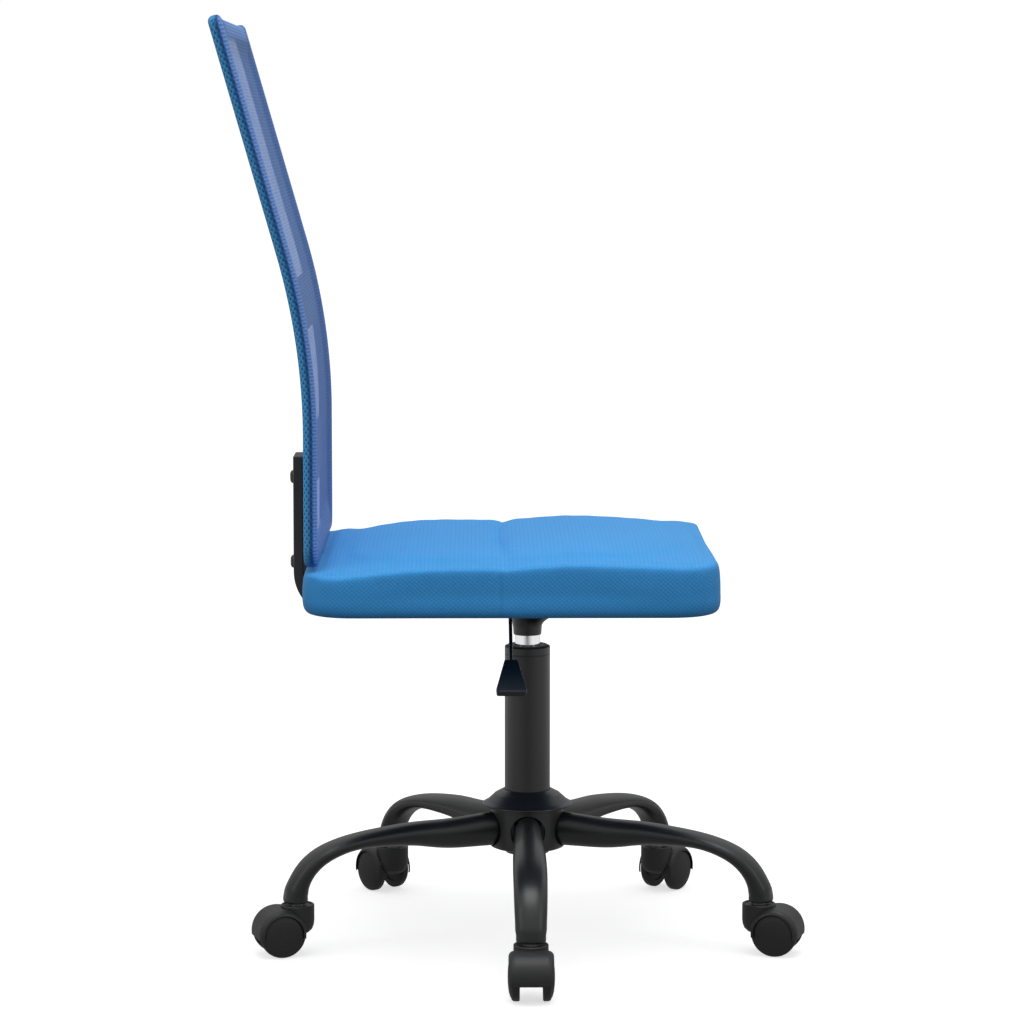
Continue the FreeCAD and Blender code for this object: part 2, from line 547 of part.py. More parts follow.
flare = Part.makeLoft([disc_wire(15.9, 0, low + 8.5), disc_wire(17.3, -0.6, low + 13.5),
                       disc_wire(20.6, -3.2, low + 18.0), disc_wire(27.0, -7.6, low + 24.5),
                       disc_wire(36.0, -12.0, S["tray_low"])], True, False)
neck = revolved([(0, low), (14.7, low), (15.35, low + 0.5), (15.9, low + 8.5), (0, low + 8.5)])
tslope = (S["cylinder_dia"] - S["cylinder_tip_dia"]) / 2 / (S["cylinder_top"] - S["cylinder_taper_from"])
bore_pts = [(0, low - 1), (S["cylinder_dia"] / 2 + 0.03, low - 1), (S["cylinder_dia"] / 2 + 0.03, S["cylinder_taper_from"]),
            (S["cylinder_dia"] / 2 + 0.03 - tslope * (S["tray_low"] + 5 - S["cylinder_taper_from"]), S["tray_low"] + 5),
            (0, S["tray_low"] + 5)]
shaped("taper_socket", one(flare.fuse(neck).cut(revolved(bore_pts))))

# Tray of pressed steel with a flange bolted under the seat board.
t, zl, zt = S["tray_sheet"], S["tray_low"], S["seat_low"]
hx, yf, yr = S["tray_half"], -S["tray_front"], S["tray_rear"]
tray = box(-hx, hx, yf, yr, zl, zt).cut(box(-hx + t, hx - t, yf + t, yr - t, zl + t, zt + 1))
fl = Part.Face(rounded_rect(-S["flange_half"], S["flange_half"], -S["flange_front"], S["flange_rear"], 14.0, zt - t))
fl = fl.extrude(V(0, 0, t)).cut(box(-hx + t, hx - t, yf + t, yr - t, zl, zt + 1))
tray = tray.fuse(fl)
tray = tray.cut(cyl(S["cylinder_dia"] / 2 - tslope * (zl - S["cylinder_taper_from"]) + 0.12, zl - 1, zl + t + 1))
BOLTS = [(sx * S["bolt_x"], y) for sx in (-1, 1) for y in (-S["bolt_y_front"], S["bolt_y_rear"])]
for x, y in BOLTS:
    tray = tray.cut(cyl(3.3, zt - t - 1, zt + 1, x, y))
BAR_BOLTS = [78.0, 98.0]
for y in BAR_BOLTS:
    tray = tray.cut(cyl(4.2, zl - 1, zl + t + 1, 0, y))
# slot that lets the lever's rod out, and the two ears that carry its crank
ly, px, pz, lr = S["lever_y"], -S["lever_pivot_x"], S["lever_pivot_z"], S["lever_dia"] / 2
tray = tray.cut(box(-hx - 1, px - 8.0, ly - 3.4, ly + 3.4, zl - 1, zt - t - 0.01))
for y0, y1 in ((4.6, 7.2), (11.6, 14.2)):
    ear = box(px - 4.2, px + 4.2, y0, y1, zl + t, zt - 0.6)
    tray = tray.fuse(ear.cut(cyl_along(lr + S["fit"], V(px, y0 - 1, pz), V(0, 1, 0), 6)))
shaped("mechanism_tray", one(tray))

# Lever: one bent wire, a crank across the tray and a handle end outside it.
slant = math.atan2(pz - 330.5, S["paddle_near"] + px)
out = V(-math.cos(slant), 0, -math.sin(slant))
rb = 3.4


def bent_wire(points, radius, bend):
    """Round wire through points with arcs at its corners."""
    edges, start = [], points[0]
    for i in range(1, len(points) - 1):
        p0, p, p1 = points[i - 1], points[i], points[i + 1]
        a = (p0 - p).normalize()
        b = (p1 - p).normalize()
        half = math.acos(max(-1.0, min(1.0, a.dot(b)))) / 2
        d = bend / math.tan(half)
        q0, q1 = p + a * d, p + b * d
        mid_dir = (a + b).normalize()
        centre = p + mid_dir * (bend / math.sin(half))
        mid = centre - mid_dir * bend
        edges.append(Part.LineSegment(start, q0).toShape())
        edges.append(Part.Arc(q0, mid, q1).toShape())
        start = q1
    edges.append(Part.LineSegment(start, points[-1]).toShape())
    path = Part.Wire(edges)
    d0 = (points[1] - points[0]).normalize()
    profile = Part.Wire([Part.Circle(points[0], d0, radius).toShape()])
    return path, path.makePipeShell([profile], True, False)


lever_end = V(px, ly, pz) + out * (S["paddle_near"] + px + 14.0) / math.cos(slant)
path, lever = bent_wire([lever_end, V(px, ly, pz), V(px, 0, pz), V(5.5, 0, pz)], lr, rb)
expected = path.Length * math.pi * lr ** 2
if abs(lever.Volume / expected - 1) > 0.03:
    raise ValueError("lever wire volume %.1f, expected %.1f" % (lever.Volume, expected))
shaped("lever_rod", lever)
# Handle: flat plastic paddle that widens outward, turned down a little more
# than the rod, with softened edges.
tilt = math.radians(25.0)
u = V(-math.cos(tilt), 0, -math.sin(tilt))
n = V(-math.sin(tilt), 0, math.cos(tilt))
root = V(-S["paddle_near"], ly, 331.3)
reach = (S["paddle_far"] - S["paddle_near"]) / math.cos(tilt)
th = S["paddle_thick"]


def paddle_face(along, half, thick, lift=0.0):
    c = root + u * along + n * lift
    r = min(2.2, thick / 2 - 0.05)
    w = V(0, 1, 0)
    pts, arcs = [], []
    corners = [(half, thick / 2, 0), (-half, thick / 2, 90), (-half, -thick / 2, 180), (half, -thick / 2, 270)]
    edges = []
    def at(a, b):
        return c + w * a + n * b
    seq = []
    for sx, sy, ang in corners:
        cx = sx - math.copysign(r, sx)
        cy = sy - math.copysign(r, sy)
        tri = []
        for da in (0, 45, 90):
            tt = math.radians(ang + da)
            tri.append(at(cx + r * math.cos(tt), cy + r * math.sin(tt)))
        seq.append(tri)
    for i in range(4):
        edges.append(Part.Arc(*seq[i]).toShape())
        edges.append(Part.LineSegment(seq[i][2], seq[(i + 1) % 4][0]).toShape())
    return Part.Wire(edges)


body_a = Part.makeLoft([paddle_face(0.0, 7.4, th * 0.82), paddle_face(reach - 6.0, 16.0, th)], True, True)
body_b = Part.makeLoft([paddle_face(reach - 6.0, 16.0, th), paddle_face(reach - 1.4, 15.6, th),
                        paddle_face(reach, 13.8, th - 2.6)], True, True)
paddle = body_a.fuse(body_b)
paddle = paddle.cut(cyl_along(lr + 0.02, V(px, ly, pz), out, (S["paddle_near"] + px + 14.2) / math.cos(slant)))
shaped("lever_handle", one(paddle))

# Bolts that hold the tray to the seat board, heads below the flange.
bolts = []
for x, y in BOLTS:
    b = cyl(5.2, zt - t - 4.0, zt - t - 0.01, x, y).fuse(cyl(2.95, zt - t - 1.0, zt + 12.4, x, y))
    b = b.cut(cyl(2.0, zt - t - 5, zt - t - 1.8, x, y))
    bolts.append(one(b))
shaped("mechanism_bolts", Part.makeCompound(bolts))
board_low = zt + 1.4
nuts = []
for x, y in BOLTS:
    nut = cyl(3.95, board_low + 1.0, board_low + S["board_thick"] + 0.9, x, y)
    nut = nut.fuse(cyl(9.0, board_low + S["board_thick"] + 0.02, board_low + S["board_thick"] + 1.0, x, y))
    nuts.append(one(nut.cut(cyl(2.98, board_low - 1, board_low + S["board_thick"] + 3, x, y))))
shaped("tee_nuts", Part.makeCompound(nuts))

# ---------------------------------------------------------------- seat


def cushion(off):
    """Plain cushion block with rounded corners and a softened top edge, off
    millimetres inside the cloth's outer face."""
    w, f, r = S["seat_width"] / 2 - off, -S["seat_front"] + off, S["seat_rear"] - off
    low_z, top_z = S["seat_low"] + (off * 0.75), S["seat_crown"] - 4.0 - off
    block = Part.Face(rounded_rect(-w, w, f, r, S["seat_corner"] - off, low_z)).extrude(V(0, 0, top_z - low_z))
    rim = [e for e in block.Edges if abs(e.BoundBox.ZMin - top_z) < 0.01 and abs(e.BoundBox.ZMax - top_z) < 0.01]
    block = block.makeFillet(18.0 - off, rim)
    # step along the rear edge, which the backrest's foot stands over
    return block.cut(box(-300, 300, 220.9 - off, 300, 430.9 - off, 500))


bi = S["board_inset"]
bw, bf, br = S["seat_width"] / 2 - bi, -S["seat_front"] + bi, S["seat_rear"] - bi
board_face = Part.Face(rounded_rect(-bw, bw, bf, br, S["seat_corner"] - 8, board_low))
board = board_face.extrude(V(0, 0, S["board_thick"]))
for x, y in BOLTS:
    board = board.cut(cyl(4.0, board_low - 1, board_low + S["board_thick"] + 1, x, y))
shaped("seat_board", one(board))
inside = cushion(S["cover_cloth"])
well = Part.Face(rounded_rect(-bw - 0.05, bw + 0.05, bf - 0.05, br + 0.05, S["seat_corner"] - 8, zt - 5)).extrude(
    V(0, 0, 5 + 1.4 + S["board_thick"] + 0.02))
foam = inside.cut(well)
for x, y in BOLTS:
    foam = foam.cut(cyl(9.1, zt, board_low + S["board_thick"] + 1.1, x, y))
shaped("seat_foam", one(foam))
# Cloth cover: wraps the foam and turns under the board's edge.
skin = cushion(0.0).cut(cushion(S["cover_cloth"] - 0.02))
hole = Part.Face(rounded_rect(-bw + 30, bw - 30, bf + 30, br - 30, 20, zt - 2)).extrude(V(0, 0, 3.4))
shaped("seat_cover", one(skin.cut(hole)))
dust = Part.Face(rounded_rect(-bw + 30.3, bw - 30.3, bf + 30.3, br - 30.3, 19.8, zt + 0.1)).extrude(V(0, 0, 1.2))
for x, y in BOLTS:
    dust = dust.cut(cyl(4.0, zt - 2, zt + 4, x, y))
shaped("dust_cover", one(dust))

# ---------------------------------------------------------------- back bar
# Flat steel bar bent from under the seat up behind it.
bw2, yr0, yf0 = S["bar_width"] / 2, S["bar_rear"], S["bar_front"]
ro = 50.0
ri = ro - (yr0 - yf0)
cy0, cz0 = yr0 - ro, S["bar_low"] + ro
k = math.sqrt(0.5)
zb = S["bar_low"]
th_bar = yr0 - yf0
edges = [
    Part.LineSegment(V(-bw2, yr0, S["bar_top"] - 1.2), V(-bw2, yr0, cz0)).toShape(),
    Part.Arc(V(-bw2, yr0, cz0), V(-bw2, cy0 + ro * k, cz0 - ro * k), V(-bw2, cy0, zb)).toShape(),
    Part.LineSegment(V(-bw2, cy0, zb), V(-bw2, S["bar_end"], zb)).toShape(),
    Part.LineSegment(V(-bw2, S["bar_end"], zb), V(-bw2, S["bar_end"], zb + th_bar)).toShape(),
    Part.LineSegment(V(-bw2, S["bar_end"], zb + th_bar), V(-bw2, cy0, zb + th_bar)).toShape(),
    Part.Arc(V(-bw2, cy0, zb + th_bar), V(-bw2, cy0 + ri * k, cz0 - ri * k), V(-bw2, yf0, cz0)).toShape(),
    Part.LineSegment(V(-bw2, yf0, cz0), V(-bw2, yf0, S["bar_top"] - 1.2)).toShape(),
    Part.LineSegment(V(-bw2, yf0, S["bar_top"] - 1.2), V(-bw2, yr0, S["bar_top"] - 1.2)).toShape(),
]
bar = Part.Face(Part.Wire(edges)).extrude(V(2 * bw2, 0, 0))
long_edges = [e for e in bar.Edges if e.Length > 12 and abs(abs(e.CenterOfMass.x) - bw2) < 0.01]
bar = bar.makeFillet(1.2, long_edges)
for z in (S["bar_bolt_low"], S["bar_bolt_high"]):
    bar = bar.cut(cyl_along(4.2, V(0, yf0 - 2, z), V(0, 1, 0), 20))
for y in BAR_BOLTS:
    bar = bar.cut(cyl(4.2, zb - 2, zb + 20, 0, y))
shaped("back_bar", one(bar))
# Plastic end cap on the bar's upper end.
cap = box(-bw2 + 0.2, bw2 - 0.2, yf0 + 0.1, yr0 - 0.1, S["bar_top"] - 1.18, S["bar_top"])
cap = cap.makeChamfer(0.5, [e for e in cap.Edges if abs(e.CenterOfMass.z - S["bar_top"]) < 0.01])
shaped("back_bar_cap", cap)
# Button-head bolts: two through the bar into the mount plate and two that
# hold the bar to the tray.
heads = []


def button_bolt(start, direction, grip):
    r1, r0, h = 7.5, 4.4, 4.4
    pts = [(0.0, -h), (r0, -h), (6.3, -h * 0.78), (7.2, -h * 0.45), (r1, -0.8), (r1, 0.0), (3.9, 0.0), (3.9, grip), (0.0, grip)]
    solid = revolved(pts)
    hexa = [V(2.9 * math.cos(math.radians(60 * q)), 2.9 * math.sin(math.radians(60 * q)), -h - 1) for q in range(6)]
    solid = solid.cut(Part.Face(wire(hexa)).extrude(V(0, 0, 3.2)))
    solid = solid.copy()
    solid.Placement = FreeCAD.Placement(start, FreeCAD.Rotation(V(0, 0, 1), direction))
    return solid


heads.append(button_bolt(V(0, yr0 + 0.02, S["bar_bolt_high"]), V(0, -1, 0), 25.5))
heads.append(button_bolt(V(0, yr0 + 0.02, S["bar_bolt_low"]), V(0, -1, 0), 18.5))
for y in BAR_BOLTS:
    heads.append(button_bolt(V(0, y, zb - 0.02), V(0, 0, 1), 18.0))
shaped("back_bar_bolts", Part.makeCompound(heads))

# ---------------------------------------------------------------- backrest
tr = S["frame_tube"] / 2
fy, fb, fR = S["frame_y"], S["frame_bend_from"], S["frame_bend_radius"]
rec = math.radians(S["frame_recline"])


def side_point(distance, offset=0.0):
    """Point of the back's side profile, distance along it from the bend's
    start (negative below), offset towards the front."""
    if distance < 0:
        return (fy - offset, fb + distance), 0.0
    arc = fR * rec
    if distance < arc:
        a = distance / fR
        return (fy + fR - (fR + offset) * math.cos(a), fb + (fR + offset) * math.sin(a)), a
    rest = distance - arc
    y = fy + fR - (fR + offset) * math.cos(rec) + rest * math.sin(rec)
    z = fb + (fR + offset) * math.sin(rec) + rest * math.cos(rec)
    return (y, z), rec


top_len = fR * rec + S["frame_straight"]


def half_loop():
    """Right-angle-cornered loop, half of it: bottom middle, rail, top middle."""
    hw, c = S["frame_half"], S["frame_corner"]
    lowz = S["frame_low"]
    e = []
    e.append(Part.LineSegment(V(0, fy, lowz), V(hw - c, fy, lowz)).toShape())
    e.append(Part.Arc(V(hw - c, fy, lowz), V(hw - c + c * k, fy, lowz + c - c * k), V(hw, fy, lowz + c)).toShape())
    e.append(Part.LineSegment(V(hw, fy, lowz + c), V(hw, fy, fb)).toShape())
    (ym, zm), _ = side_point(fR * rec / 2)
    (y1, z1), _ = side_point(fR * rec)
    e.append(Part.Arc(V(hw, fy, fb), V(hw, ym, zm), V(hw, y1, z1)).toShape())
    (y2, z2), _ = side_point(top_len - c)
    e.append(Part.LineSegment(V(hw, y1, z1), V(hw, y2, z2)).toShape())
    (y3, z3), _ = side_point(top_len - c + c * k)
    (y4, z4), _ = side_point(top_len)
    e.append(Part.Arc(V(hw, y2, z2), V(hw - c + c * k, y3, z3), V(hw - c, y4, z4)).toShape())
    e.append(Part.LineSegment(V(hw - c, y4, z4), V(0, y4, z4)).toShape())
    return Part.Wire(e)


def tube_along(path, radius):
    start = path.Vertexes[0].Point
    profile = Part.Wire([Part.Circle(start, V(1, 0, 0), radius).toShape()])
    return path.makePipeShell([profile], True, False)


loop = half_loop()
half = tube_along(loop, tr)
core = tube_along(loop, tr - S["frame_wall"])
if abs(half.Volume / (loop.Length * math.pi * tr ** 2) - 1) > 0.03:
    raise ValueError("back tube volume is off")
half = half.cut(core)
other = half.mirror(V(0, 0, 0), V(1, 0, 0))
shaped("back_frame", one(half.fuse(other)))


def sheet_strip(d0, d1, off0, off1, hw, x0=None):
    """Sheet that follows the side profile between two distances and offsets."""
    arc = fR * rec
    marks = sorted({d0, d1} | {m for m in (0.0, arc) if d0 < m < d1})

    def chain(off, ds):
        out = []
        for a, b in zip(ds[:-1], ds[1:]):
            (ya, za), _ = side_point(a, off)
            (yb, zb_), _ = side_point(b, off)
            pa, pb = V(-hw, ya, za), V(-hw, yb, zb_)
            mid = (a + b) / 2
            if 0.0 <= min(a, b) and max(a, b) <= arc:
                (yc, zc), _ = side_point(mid, off)
                out.append(Part.Arc(pa, V(-hw, yc, zc), pb).toShape())
            else:
                out.append(Part.LineSegment(pa, pb).toShape())
        return out

    up = chain(off0, marks)
    down = chain(off1, marks[::-1])
    (ya, za), _ = side_point(d1, off0)
    (yb, zb_), _ = side_point(d1, off1)
    (yc, zc), _ = side_point(d0, off1)
    (yd, zd), _ = side_point(d0, off0)
    loop_edges = up + [Part.LineSegment(V(-hw, ya, za), V(-hw, yb, zb_)).toShape()] + down + [
        Part.LineSegment(V(-hw, yc, zc), V(-hw, yd, zd)).toShape()]
    return Part.Face(Part.Wire(loop_edges)).extrude(V(2 * hw, 0, 0))


g, cl = S["sleeve_gap"], S["sleeve_cloth"]
d_low = S["frame_low"] - tr - 1.0 - fb
d_high = top_len + tr + 0.6
hw_sleeve = S["frame_half"] + tr + 1.0
shaped("back_mesh_front", sheet_strip(d_low, d_high, tr + g, tr + g + cl, hw_sleeve))
rear = sheet_strip(d_low, d_high, -tr - g, -tr - g - cl, hw_sleeve)
rear = rear.cut(cyl_along(4.3, V(0, fy, S["bar_bolt_high"]), V(0, 1, 0), 20))
shaped("back_mesh_rear", one(rear))
# Two flat steel cross-pieces between the rails: one low, behind the sitter's
# waist, that the mount plate bolts to, and a strap above it.
span = S["frame_half"] - tr - 0.05
brace = sheet_strip(S["brace_low"] - fb, S["brace_high"] - fb, -3.0, -5.6, span)
brace = brace.cut(cyl_along(4.2, V(0, fy, S["bar_bolt_high"]), V(0, 1, 0), 20))
strap = sheet_strip(S["strap_low"] - fb - 1.5, S["strap_high"] - fb + 1.5, 1.2, -1.2, span)
shaped("back_crossbars", Part.makeCompound([one(brace), one(strap)]))
# Mount plate: shallow pressed channel between the bar and the frame.
plate_rear, plate_front = yf0 - 0.02, fy + tr + g + cl + 0.1
padded("mount_plate", [[
    (-30.0, plate_front), (-27.5, plate_front), (-27.5, plate_rear - 3.0), (27.5, plate_rear - 3.0),
    (27.5, plate_front), (30.0, plate_front), (30.0, plate_rear), (-30.0, plate_rear),
]], 117.0, lift=410.0)
plate = PARTS[-1]
doc.recompute()
holes = sketch(plate, "XZ_Plane", "mount_holes", circles=[("0", "Sizes.bar_bolt_low", "4.2"), ("0", "Sizes.bar_bolt_high", "4.2")],
               lift=-(plate_rear + 4.0))
cut = plate.newObject("PartDesign::Pocket", "mount_hole_cut")
cut.Profile = holes
cut.Length = 14
v0 = plate.Shape.Volume
doc.recompute()
if v0 - plate.Shape.Volume < 100:
    cut.Reversed = True
    doc.recompute()
if v0 - plate.Shape.Volume < 100:
    raise ValueError("the mount plate's holes cut nothing")

# ---------------------------------------------------------------- checks
doc.recompute()
bad = []
for obj in doc.Objects:
    if "Invalid" in obj.State or "Error" in obj.State:
        bad.append("%s state %s" % (obj.Name, obj.State))
for obj in PARTS:
    if obj.Shape.isNull() or not obj.Shape.isValid():
        bad.append("%s shape not valid" % obj.Label)
    elif obj.Shape.Volume <= 0:
        bad.append("%s has no volume" % obj.Label)
labels = [obj.Label for obj in PARTS]
if len(set(labels)) != len(labels) or len(labels) > 60:
    bad.append("labels: %d, %d different" % (len(labels), len(set(labels))))
if bad:
    raise RuntimeError("; ".join(bad))

os.makedirs("parts", exist_ok=True)
for obj in PARTS:
    obj.Shape.exportStep("parts/%s.step" % obj.Label)
    b = obj.Shape.BoundBox
    print("%-28s solids %2d volume %10.0f  x %7.1f %7.1f  y %7.1f %7.1f  z %7.1f %7.1f" % (
        obj.Label, len(obj.Shape.Solids), obj.Shape.Volume, b.XMin, b.XMax, b.YMin, b.YMax, b.ZMin, b.ZMax))
print("%d parts" % len(PARTS))
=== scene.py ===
import json
import math

import bmesh
import bpy
from mathutils import Matrix, Quaternion, Vector


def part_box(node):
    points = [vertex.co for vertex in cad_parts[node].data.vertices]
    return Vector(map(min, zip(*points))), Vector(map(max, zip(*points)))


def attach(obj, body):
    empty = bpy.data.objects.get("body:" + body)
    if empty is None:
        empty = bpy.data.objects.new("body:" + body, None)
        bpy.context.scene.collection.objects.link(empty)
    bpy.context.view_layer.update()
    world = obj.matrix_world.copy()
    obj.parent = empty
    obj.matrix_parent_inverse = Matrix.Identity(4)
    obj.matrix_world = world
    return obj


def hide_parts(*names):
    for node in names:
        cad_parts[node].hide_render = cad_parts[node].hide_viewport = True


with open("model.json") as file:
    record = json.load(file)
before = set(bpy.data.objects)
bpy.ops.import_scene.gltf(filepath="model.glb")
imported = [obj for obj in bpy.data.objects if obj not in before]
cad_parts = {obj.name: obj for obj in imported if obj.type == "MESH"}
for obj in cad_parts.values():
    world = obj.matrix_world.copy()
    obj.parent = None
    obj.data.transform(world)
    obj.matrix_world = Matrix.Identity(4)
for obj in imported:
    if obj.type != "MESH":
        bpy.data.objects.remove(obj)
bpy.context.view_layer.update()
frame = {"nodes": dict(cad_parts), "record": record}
nodes = frame["nodes"]
scene = bpy.context.scene
pi = math.pi
FLOOR_BOUNCE, SIDE, UP = 0.13, 0.245, 0.95


# ------------------------------------------------------------------ materials
class Mat:
    """A small builder for node materials."""

    def __init__(self, name):
        self.m = bpy.data.materials.new(name)
        self.m.use_nodes = True
        self.t = self.m.node_tree
        self.t.nodes.clear()
        self.out = self.t.nodes.new("ShaderNodeOutputMaterial")
        self.b = self.t.nodes.new("ShaderNodeBsdfPrincipled")
        self.t.links.new(self.b.outputs[0], self.out.inputs[0])
        self.coord = self.t.nodes.new("ShaderNodeTexCoord")

    def put(self, **values):
        names = {"color": "Base Color", "rough": "Roughness", "metal": "Metallic", "coat": "Coat Weight",
                 "coat_rough": "Coat Roughness", "sheen": "Sheen Weight", "sheen_rough": "Sheen Roughness",
                 "spec": "Specular IOR Level", "alpha": "Alpha", "trans": "Transmission Weight",
                 "sheen_tint": "Sheen Tint", "sub": "Subsurface Weight"}
        for k, v in values.items():
            self.b.inputs[names[k]].default_value = (*v, 1) if isinstance(v, tuple) and len(v) == 3 else v
        return self

    def link(self, out, socket):
        self.t.links.new(out, self.b.inputs[socket] if isinstance(socket, str) else socket)

    def math(self, op, a, b=None, clamp=False):
        n = self.t.nodes.new("ShaderNodeMath")
        n.operation = op
        n.use_clamp = clamp
        for i, v in enumerate((a, b)):
            if v is None:
                continue
            if isinstance(v, (int, float)):
                n.inputs[i].default_value = v
            else:
                self.t.links.new(v, n.inputs[i])
        return n.outputs[0]

    def ramp(self, fac, stops):
        n = self.t.nodes.new("ShaderNodeValToRGB")
        e = n.color_ramp.elements
        while len(e) < len(stops):
            e.new(0.5)
        for i, (p, c) in enumerate(stops):
            e[i].position = p
            e[i].color = (c, c, c, 1) if isinstance(c, (int, float)) else (*c, 1)
        self.t.links.new(fac, n.inputs[0])
        return n.outputs[0]

    def mix(self, fac, a, b):
        n = self.t.nodes.new("ShaderNodeMix")
        n.data_type = "RGBA"
        for sock, v in ((n.inputs[0], fac), (n.inputs[6], a), (n.inputs[7], b)):
            if isinstance(v, (int, float)):
                sock.default_value = v
            elif isinstance(v, tuple):
                sock.default_value = (*v, 1)
            else:
                self.t.links.new(v, sock)
        return n.outputs[2]

    def noise(self, scale, detail=3.0, vector=None, stretch=None):
        n = self.t.nodes.new("ShaderNodeTexNoise")
        n.inputs["Scale"].default_value = scale
        n.inputs["Detail"].default_value = detail
        src = vector or self.coord.outputs["Object"]
        if stretch:
            mp = self.t.nodes.new("ShaderNodeMapping")
            mp.inputs["Scale"].default_value = stretch
            self.t.links.new(src, mp.inputs[0])
            src = mp.outputs[0]
        self.t.links.new(src, n.inputs["Vector"])
        return n.outputs[0]

    def bump(self, height, strength, distance):
        n = self.t.nodes.new("ShaderNodeBump")
        n.inputs["Strength"].default_value = strength
        n.inputs["Distance"].default_value = distance
        self.t.links.new(height, n.inputs["Height"])
        self.link(n.outputs[0], "Normal")

    def split(self, vector):
        n = self.t.nodes.new("ShaderNodeSeparateXYZ")
        self.t.links.new(vector, n.inputs[0])
        return n.outputs

    def hexes(self, u, v, pitch_u, pitch_v):
        """Hexagonal lattice of round dots: about 1 at a dot's centre, low between."""
        a = self.math("COSINE", self.math("MULTIPLY", u, 2 * pi / pitch_u))
        b = self.math("COSINE", self.math("MULTIPLY", v, 2 * pi / pitch_v))
        return self.math("MULTIPLY", a, b)


def coat_black(name, color, rough, grain, coat=0.15, scale=900.0):
    """Satin powder coat or moulded plastic: fine grain, slight wear and dust."""
    m = Mat(name).put(metal=0.0, coat=coat, coat_rough=0.28, spec=0.5)
    big = m.noise(14.0, 4.0)
    fine = m.noise(scale, 2.0)
    m.link(m.mix(m.ramp(big, [(0.35, 0.0), (0.7, 1.0)]), color, tuple(min(1, c * 1.35 + 0.002) for c in color)), "Base Color")
    m.link(m.math("ADD", m.math("MULTIPLY", big, 0.10), m.math("MULTIPLY", fine, 0.08)), "Roughness")
    r = m.math("ADD", m.math("MULTIPLY", big, 0.12), rough - 0.06)
    m.link(r, "Roughness")
    m.bump(fine, grain, 0.0004)
    return m.m


black_steel = coat_black("satin_black_steel", (0.0095, 0.0105, 0.0122), 0.36, 0.10, 0.25)
column_steel = coat_black("satin_column_steel", (0.0230, 0.0234, 0.0245), 0.40, 0.08, 0.25)
black_plastic = coat_black("moulded_black_plastic", (0.0185, 0.0190, 0.0200), 0.47, 0.22, 0.0, 1500.0)
wheel_plastic = coat_black("wheel_nylon", (0.0155, 0.0158, 0.0165), 0.50, 0.16, 0.0, 1500.0)
hub_plastic = coat_black("hub_cover_plastic", (0.0085, 0.0115, 0.0170), 0.30, 0.08, 0.2, 1500.0)
handle_plastic = coat_black("handle_plastic", (0.0030, 0.0070, 0.0125), 0.42, 0.14, 0.1, 1500.0)
grey_plastic = coat_black("grey_cap_plastic", (0.085, 0.087, 0.09), 0.5, 0.15, 0.0, 1500.0)

m = Mat("chrome").put(color=(0.93, 0.93, 0.94), metal=1.0, rough=0.09)
m.link(m.math("ADD", m.math("MULTIPLY", m.noise(60.0, 3.0, stretch=(1, 1, 0.1)), 0.08), 0.05), "Roughness")
chrome = m.m
m = Mat("zinc_steel").put(color=(0.45, 0.46, 0.48), metal=1.0)
m.link(m.math("ADD", m.math("MULTIPLY", m.noise(220.0, 3.0), 0.25), 0.25), "Roughness")
m.bump(m.noise(500.0, 2.0), 0.1, 0.0003)
steel = m.m
m = Mat("plywood")
g = m.noise(7.0, 6.0, stretch=(1, 22, 22))
m.link(m.ramp(g, [(0.3, (0.42, 0.27, 0.14)), (0.7, (0.62, 0.45, 0.27))]), "Base Color")
m.put(rough=0.7)
plywood = m.m
m = Mat("foam")
m.link(m.ramp(m.noise(300.0, 4.0), [(0.3, (0.62, 0.58, 0.42)), (0.7, (0.80, 0.76, 0.60))]), "Base Color")
m.put(rough=0.95)
foam = m.m
m = Mat("dust_cloth").put(rough=0.95, sheen=0.2)
f = m.noise(420.0, 5.0)
m.link(m.ramp(f, [(0.3, (0.010, 0.010, 0.011)), (0.75, (0.030, 0.030, 0.032))]), "Base Color")
m.bump(f, 0.4, 0.0006)
dust = m.m

# Seat cloth: knitted air mesh, small round holes in staggered rows, the same
# size on every side of the cushion.
m = Mat("blue_air_mesh").put(sheen=0.22, sheen_rough=0.45, rough=0.78, sheen_tint=(0.55, 0.80, 1.0), spec=0.25)
o = m.split(m.coord.outputs["Object"])
nrm = m.split(m.coord.outputs["Normal"])
ax, ay, az = (m.math("POWER", m.math("ABSOLUTE", nrm[i]), 5.0) for i in range(3))
tot = m.math("ADD", m.math("ADD", ax, ay), az)
P, Q = 0.0050, 0.0044


def lattice(mat, u, v):
    return mat.math("MULTIPLY", mat.math("COSINE", mat.math("MULTIPLY", u, 2 * pi / P)),
                    mat.math("COSINE", mat.math("MULTIPLY", v, 2 * pi / Q)))


pat = m.math("DIVIDE", m.math("ADD", m.math("ADD", m.math("MULTIPLY", lattice(m, o[1], o[2]), ax),
                                           m.math("MULTIPLY", lattice(m, o[0], o[2]), ay)),
                             m.math("MULTIPLY", m.math("ADD", m.math("MULTIPLY", lattice(m, o[0], o[1]), 0.35),
                                                       m.math("MULTIPLY", m.math("COSINE", m.math("MULTIPLY", o[1], 2 * pi / Q)), 0.55)), az)), tot)
dots = m.ramp(m.math("ADD", m.math("MULTIPLY", pat, 0.5), 0.5), [(0.60, 0.0), (0.86, 1.0)])
var = m.noise(9.0, 4.0)
yarn = m.noise(1500.0, 2.0)
base = m.mix(var, (0.034, 0.305, 0.730), (0.044, 0.350, 0.820))
base = m.mix(m.math("MULTIPLY", yarn, 0.30), base, (0.10, 0.42, 0.86))
cloth = m.mix(m.math("MULTIPLY", dots, 0.27), base, (0.012, 0.130, 0.400))
seam = m.math("MULTIPLY", m.ramp(m.math("ABSOLUTE", m.math("SUBTRACT", o[1], 0.030)), [(0.0005, 1.0), (0.0016, 0.0)]), m.math("DIVIDE", ax, tot))
